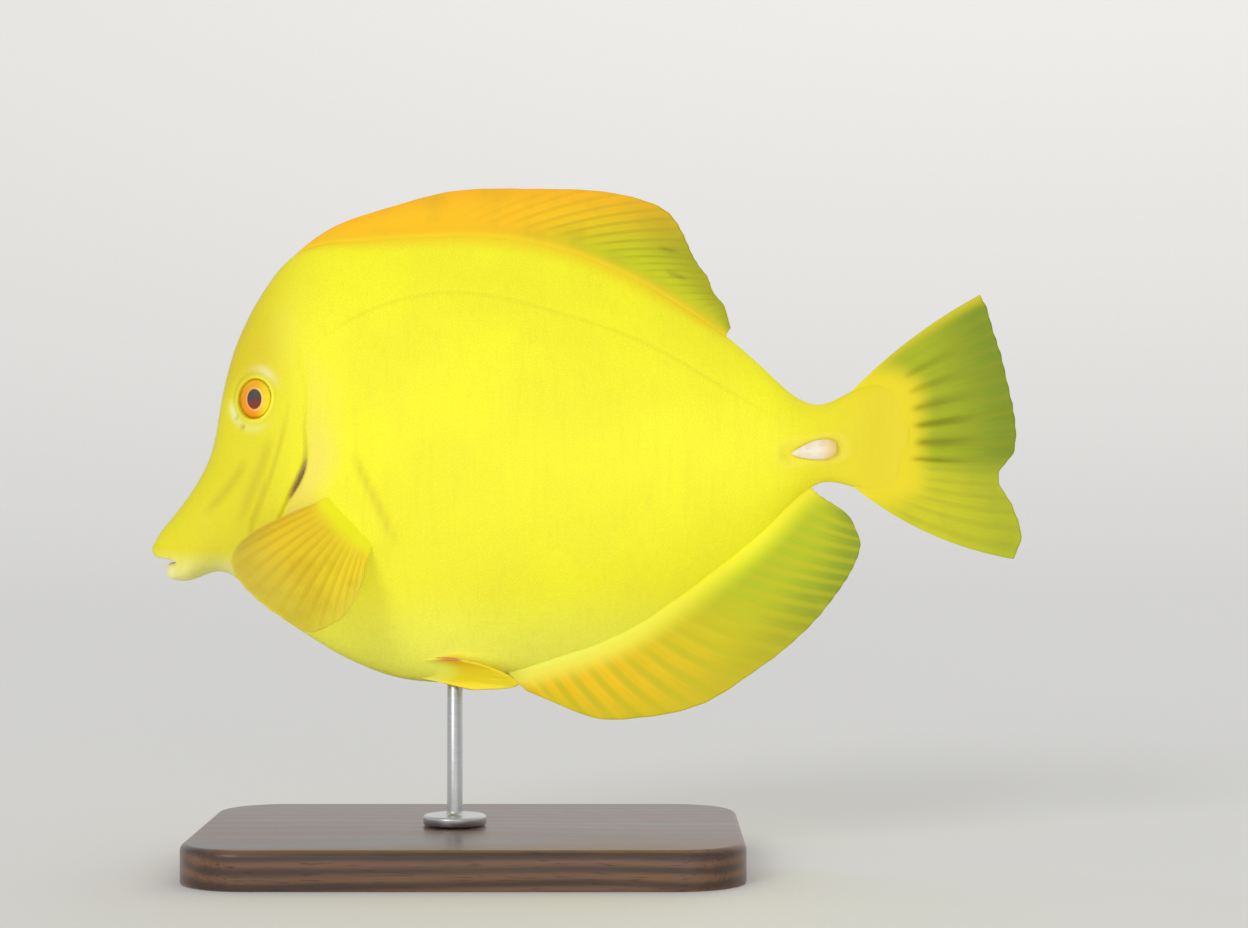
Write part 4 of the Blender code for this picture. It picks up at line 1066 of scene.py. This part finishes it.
def fin_skin(name, look):
    """Thin fin skin over bony rays: orange-yellow in front, olive where it is thinnest.

    The eye sees fine light rays on a slightly darker web, forked towards a frail edge.
    """
    made, tree, shader = new_material(name + "_fin_skin")
    place = millimetres(tree)
    along, across = mark(tree, "along"), mark(tree, "across")
    turned = ranged(tree, across, *look["turn"])
    colour = blend(tree, turned, look["first"], look["last"])
    edge = blend(tree, turned, *look["edges"])
    colour = blend(tree, ranged(tree, along, 0.5, 1.0, 0.0, 0.8), colour, edge)
    between = ranged(tree, mark(tree, "band"), look["wide"], 0.0, 0.0, look["share"])
    if "shown" in look:
        between = times(tree, between, ranged(tree, across, *look["shown"]))
    rise = mark(tree, "rise")
    between = times(tree, between, ranged(tree, rise, 0.5, 5.0))
    between = times(tree, between, ranged(tree, along, 0.6, 1.0, 1.0, look["margin"]))
    between = times(tree, between, ranged(tree, along, 0.1, 0.5, 0.35, 1.0))
    colour = blend(tree, between, colour, look["web"])
    ripple = add(tree, "TexNoise", {"Vector": place, "Scale": 0.14, "Detail": 3.0})
    colour = blend(tree, ranged(tree, ripple.outputs["Fac"], 0.45, 0.75, 0.0, 0.25), colour,
                   look["web"])
    colour = blend(tree, ranged(tree, across, 0.06, 0.0), colour, look["lead"])
    body = skin_colours(tree, place)
    # The tint at the root is partly painted shade, over the band at the fin's root that catches
    # the top light.
    if "root" in look:
        tint, share = look["root"]
        body = blend(tree, share, body, tint)
    low, high = look["rise"]
    colour = blend(tree, ranged(tree, rise, high, low), colour, body)
    colour = blend(tree, times(tree, mark(tree, "lobe"), 0.9), colour, body)
    if "seam" in look:
        tint, share = look["seam"]
        seam = times(tree, ranged(tree, rise, 0.1, 0.5), ranged(tree, rise, 1.8, 0.8))
        colour = blend(tree, times(tree, seam, share), colour, tint)
    # Painted shade in the folds and creases.
    colour = blend(tree, times(tree, mark(tree, "fold"), 0.52), colour, look["fold"])
    grain = add(tree, "TexNoise", {"Vector": place, "Scale": 1.0, "Detail": 1.0})
    bump = add(tree, "Bump", {"Strength": 0.25, "Distance": 0.00015,
                              "Height": grain.outputs["Fac"]})
    set_shader(tree, shader, colour, bump.outputs[0], Roughness=0.5, IOR=1.36,
               Specular_IOR_Level=0.35, Subsurface_Weight=0.12, Subsurface_Scale=0.001,
               Subsurface_Radius=(1.0, 0.75, 0.15), Coat_Weight=0.06, Coat_Roughness=0.3)
    return made


def glass_eye():
    """A glass eye as taxidermists use: a painted iris under a clear polished dome."""
    made, tree, shader = new_material("painted_glass_eye")
    iris, up, back = mark(tree, "iris"), mark(tree, "up"), mark(tree, "back")
    # How far each point lies from the pupil's middle: 1 at the pupil's edge.
    wide = add(tree, "Math", {0: back, 1: PUPIL_AHEAD}, operation="ADD").outputs[0]
    wide = times(tree, wide, 1 / PUPIL_HALF_WIDTH)
    high = times(tree, up, 1 / PUPIL_HALF_HEIGHT)
    oval = add(tree, "Math", {0: times(tree, wide, wide), 1: times(tree, high, high)},
               operation="ADD").outputs[0]
    oval = add(tree, "Math", {0: oval, 1: 0.5}, operation="POWER").outputs[0]
    flecks = add(tree, "TexNoise", {"Vector": millimetres(tree), "Scale": 1.6,
                                    "Detail": 4.0}).outputs["Fac"]
    colour = blend(tree, ranged(tree, back, -0.8, 2.2), "F0960A", "FDE222")
    colour = blend(tree, ranged(tree, up, 1.2, 3.6, 0.0, 0.6), colour, "F8C81A")
    colour = blend(tree, ranged(tree, flecks, 0.45, 0.75, 0.0, 0.25), colour, "E07E08")
    ring = times(tree, ranged(tree, oval, 1.3, 1.08), ranged(tree, wide, -0.4, 0.6, 0.35, 0.9))
    colour = blend(tree, ring, colour, "F8D272")
    # The pupil is grey at its top and red below: painted reflections.
    deep = blend(tree, ranged(tree, up, 0.6, -1.6), "4A403C", "86281A")
    colour = blend(tree, ranged(tree, oval, 1.08, 0.94), colour, deep)
    colour = blend(tree, ranged(tree, iris, 3.45, 3.9), colour, "A88C16")
    set_shader(tree, shader, colour, None, Roughness=0.4, IOR=1.5, Specular_IOR_Level=0.1,
               Coat_Weight=0.8, Coat_Roughness=0.04, Coat_IOR=1.5)
    return made


def spine_bone():
    """Dentine of the tail spine: smooth, dense and white, cream where skin covers its root."""
    made, tree, shader = new_material("white_dentine")
    place = mark(tree, "place")
    cloud = add(tree, "TexNoise", {"Vector": millimetres(tree), "Scale": 0.6,
                                   "Detail": 3.0}).outputs["Fac"]
    colour = blend(tree, ranged(tree, cloud, 0.4, 0.7), "F2E6CE", "E8DABE")
    colour = blend(tree, ranged(tree, place, 0.5, 1.0), colour, "F0CE84")
    colour = blend(tree, ranged(tree, place, 0.12, 0.0, 0.0, 0.5), colour, "EFD9C4")
    set_shader(tree, shader, colour, None, Roughness=0.34, IOR=1.54,
               Subsurface_Weight=0.1, Subsurface_Scale=0.0008)
    return made


def brushed_steel():
    """Stainless steel rod, brushed round: fine bright rings of scratches and dull edges."""
    made, tree, shader = new_material("brushed_stainless_steel")
    # Brush lines are about 0.1 mm apart; they are drawn 0.3 mm apart, or they would not show.
    lines = add(tree, "TexNoise", {"Vector": millimetres(tree, (0.3, 0.3, 3.3)), "Scale": 1.0,
                                   "Detail": 3.0}).outputs["Fac"]
    colour = blend(tree, lines, "C2C4C6", "D4D5D6")
    rough = ranged(tree, lines, 0.3, 0.7, 0.28, 0.34)
    tree.links.new(rough, shader.inputs["Roughness"])
    bump = add(tree, "Bump", {"Strength": 0.08, "Distance": 0.00003, "Height": lines})
    set_shader(tree, shader, colour, bump.outputs[0], Metallic=1.0)
    return made


def stained_walnut():
    """Walnut, sanded and stained, under satin varnish: long dark grain and open pores.

    The eye sees growth rings, as long streaks on the board's face and as arcs on its ends.
    """
    made, tree, shader = new_material("varnished_walnut")
    # Growth rings 3 mm apart round the heart of the trunk, 50 mm below the board's foot and
    # 22 mm to one side.
    bend = add(tree, "TexNoise", {"Vector": millimetres(tree, (0.006, 0.02, 0.02)),
                                  "Scale": 1.0, "Detail": 2.0}).outputs["Color"]
    bend = add(tree, "VectorMath", {0: bend, 1: (0.0, 12.0, 12.0)},
               operation="MULTIPLY").outputs[0]
    heart = add(tree, "VectorMath", {0: millimetres(tree, (0.05, 1.0, 1.0)), 1: (0.0, 22.0, 50.0)},
                operation="ADD").outputs[0]
    bent = add(tree, "VectorMath", {0: heart, 1: bend}, operation="ADD").outputs[0]
    rings = add(tree, "TexWave", {"Vector": bent, "Scale": 0.105, "Distortion": 0.4,
                                  "Detail": 2.0, "Detail Scale": 1.5},
                wave_type="RINGS", rings_direction="X").outputs["Fac"]
    cloud = add(tree, "TexNoise", {"Vector": millimetres(tree, (0.012, 0.2, 0.2)), "Scale": 1.0,
                                   "Detail": 4.0, "Roughness": 0.6}).outputs["Fac"]
    bands = add(tree, "Mix", {0: 0.72, 2: rings, 3: cloud}).outputs[0]
    # Pores are about 0.3 mm wide and 6 mm long.
    pores = add(tree, "TexNoise", {"Vector": millimetres(tree, (0.16, 3.0, 3.0)),
                                   "Scale": 1.0, "Detail": 2.0}).outputs["Fac"]
    colour = blend(tree, ranged(tree, bands, 0.3, 0.7), "3A2416", "6B4729")
    colour = blend(tree, ranged(tree, pores, 0.55, 0.7, 0.0, 0.7), colour, "24150C")
    tree.links.new(ranged(tree, bands, 0.3, 0.7, 0.36, 0.46), shader.inputs["Roughness"])
    bump = add(tree, "Bump", {"Strength": 0.3, "Distance": 0.00005,
                              "Height": ranged(tree, pores, 0.7, 0.55)})
    set_shader(tree, shader, colour, bump.outputs[0], IOR=1.5, Coat_Weight=0.4,
               Coat_Roughness=0.25)
    return made


def studio_paper():
    """Matt pale backdrop paper."""
    made, tree, shader = new_material("pale_backdrop_paper")
    fibre = add(tree, "TexNoise", {"Vector": millimetres(tree), "Scale": 0.8,
                                   "Detail": 2.0}).outputs["Fac"]
    colour = blend(tree, fibre, "E4E2DE", "E9E7E3")
    set_shader(tree, shader, colour, None, Roughness=0.9)
    return made


def build_studio():
    """Round floor that sweeps up on all sides, soft lights and the camera."""
    profile = [(FLOOR_CENTRE, 0.0)]
    profile += [(FLOOR_RADIUS + SWEEP_RADIUS * math.sin(t), SWEEP_RADIUS * (1 - math.cos(t)))
                for t in quarter_turn(20)]
    profile.append((FLOOR_RADIUS + SWEEP_RADIUS, WALL_TOP))
    sides = FLOOR_SIDES
    faces = [tuple(range(sides))]
    faces += [(i + j, i + sides + j, i + sides + (j + 1) % sides, i + (j + 1) % sides)
              for i in range(0, (len(profile) - 1) * sides, sides) for j in range(sides)]
    mesh = bpy.data.meshes.new("studio_floor")
    mesh.from_pydata(turned_points(profile, sides), [], faces)
    mesh.shade_smooth()
    mesh.materials.append(studio_paper())
    floor = bpy.data.objects.new("studio_floor", mesh)
    bpy.context.collection.objects.link(floor)
    # Lamps below and outside the floor reach the fish, and scattered light passes through the
    # floor, which shortens a render by about a third.
    floor.visible_shadow = False
    floor.visible_diffuse = False

    for name, place, size, power in LIGHTS:
        data = bpy.data.lights.new(name, "SUN")
        data.angle = size
        data.energy = power
        lamp = bpy.data.objects.new(name, data)
        lamp.location = place
        aim = Vector(LIGHTS_AIM) - Vector(place)
        lamp.rotation_euler = aim.to_track_quat("-Z", "Y").to_euler()
        bpy.context.collection.objects.link(lamp)
    world = bpy.data.worlds.new("soft_room")
    world.use_nodes = True
    sky = world.node_tree.nodes["Background"]
    sky.inputs["Color"].default_value = linear("F2F4F7")
    sky.inputs["Strength"].default_value = ROOM_LIGHT
    bpy.context.scene.world = world
    bpy.context.scene.view_settings.view_transform = "Standard"

    lens = bpy.data.cameras.new("camera")
    lens.lens = LENS
    lens.sensor_width = SENSOR
    camera = bpy.data.objects.new("camera", lens)
    camera.location = (FRAME_CENTRE[0] * MM, -CAMERA_DISTANCE * MM, FRAME_CENTRE[1] * MM)
    camera.rotation_euler = (math.radians(90), 0, 0)
    bpy.context.collection.objects.link(camera)
    bpy.context.scene.camera = camera


def main():
    """Build the fish, its stand, the studio and the camera."""
    grid = skin_grid()
    surface = grid_surface(grid)
    fin_skins = {name: fin_skin(name, look) for name, look in FIN_COLOURS.items()}
    build_skin(grid, surface, living_skin())
    build_fins(surface, fin_skins)
    build_eyes(surface, glass_eye())
    build_spines(surface, spine_bone())
    build_rod(brushed_steel())
    build_base(stained_walnut())
    build_studio()


main()
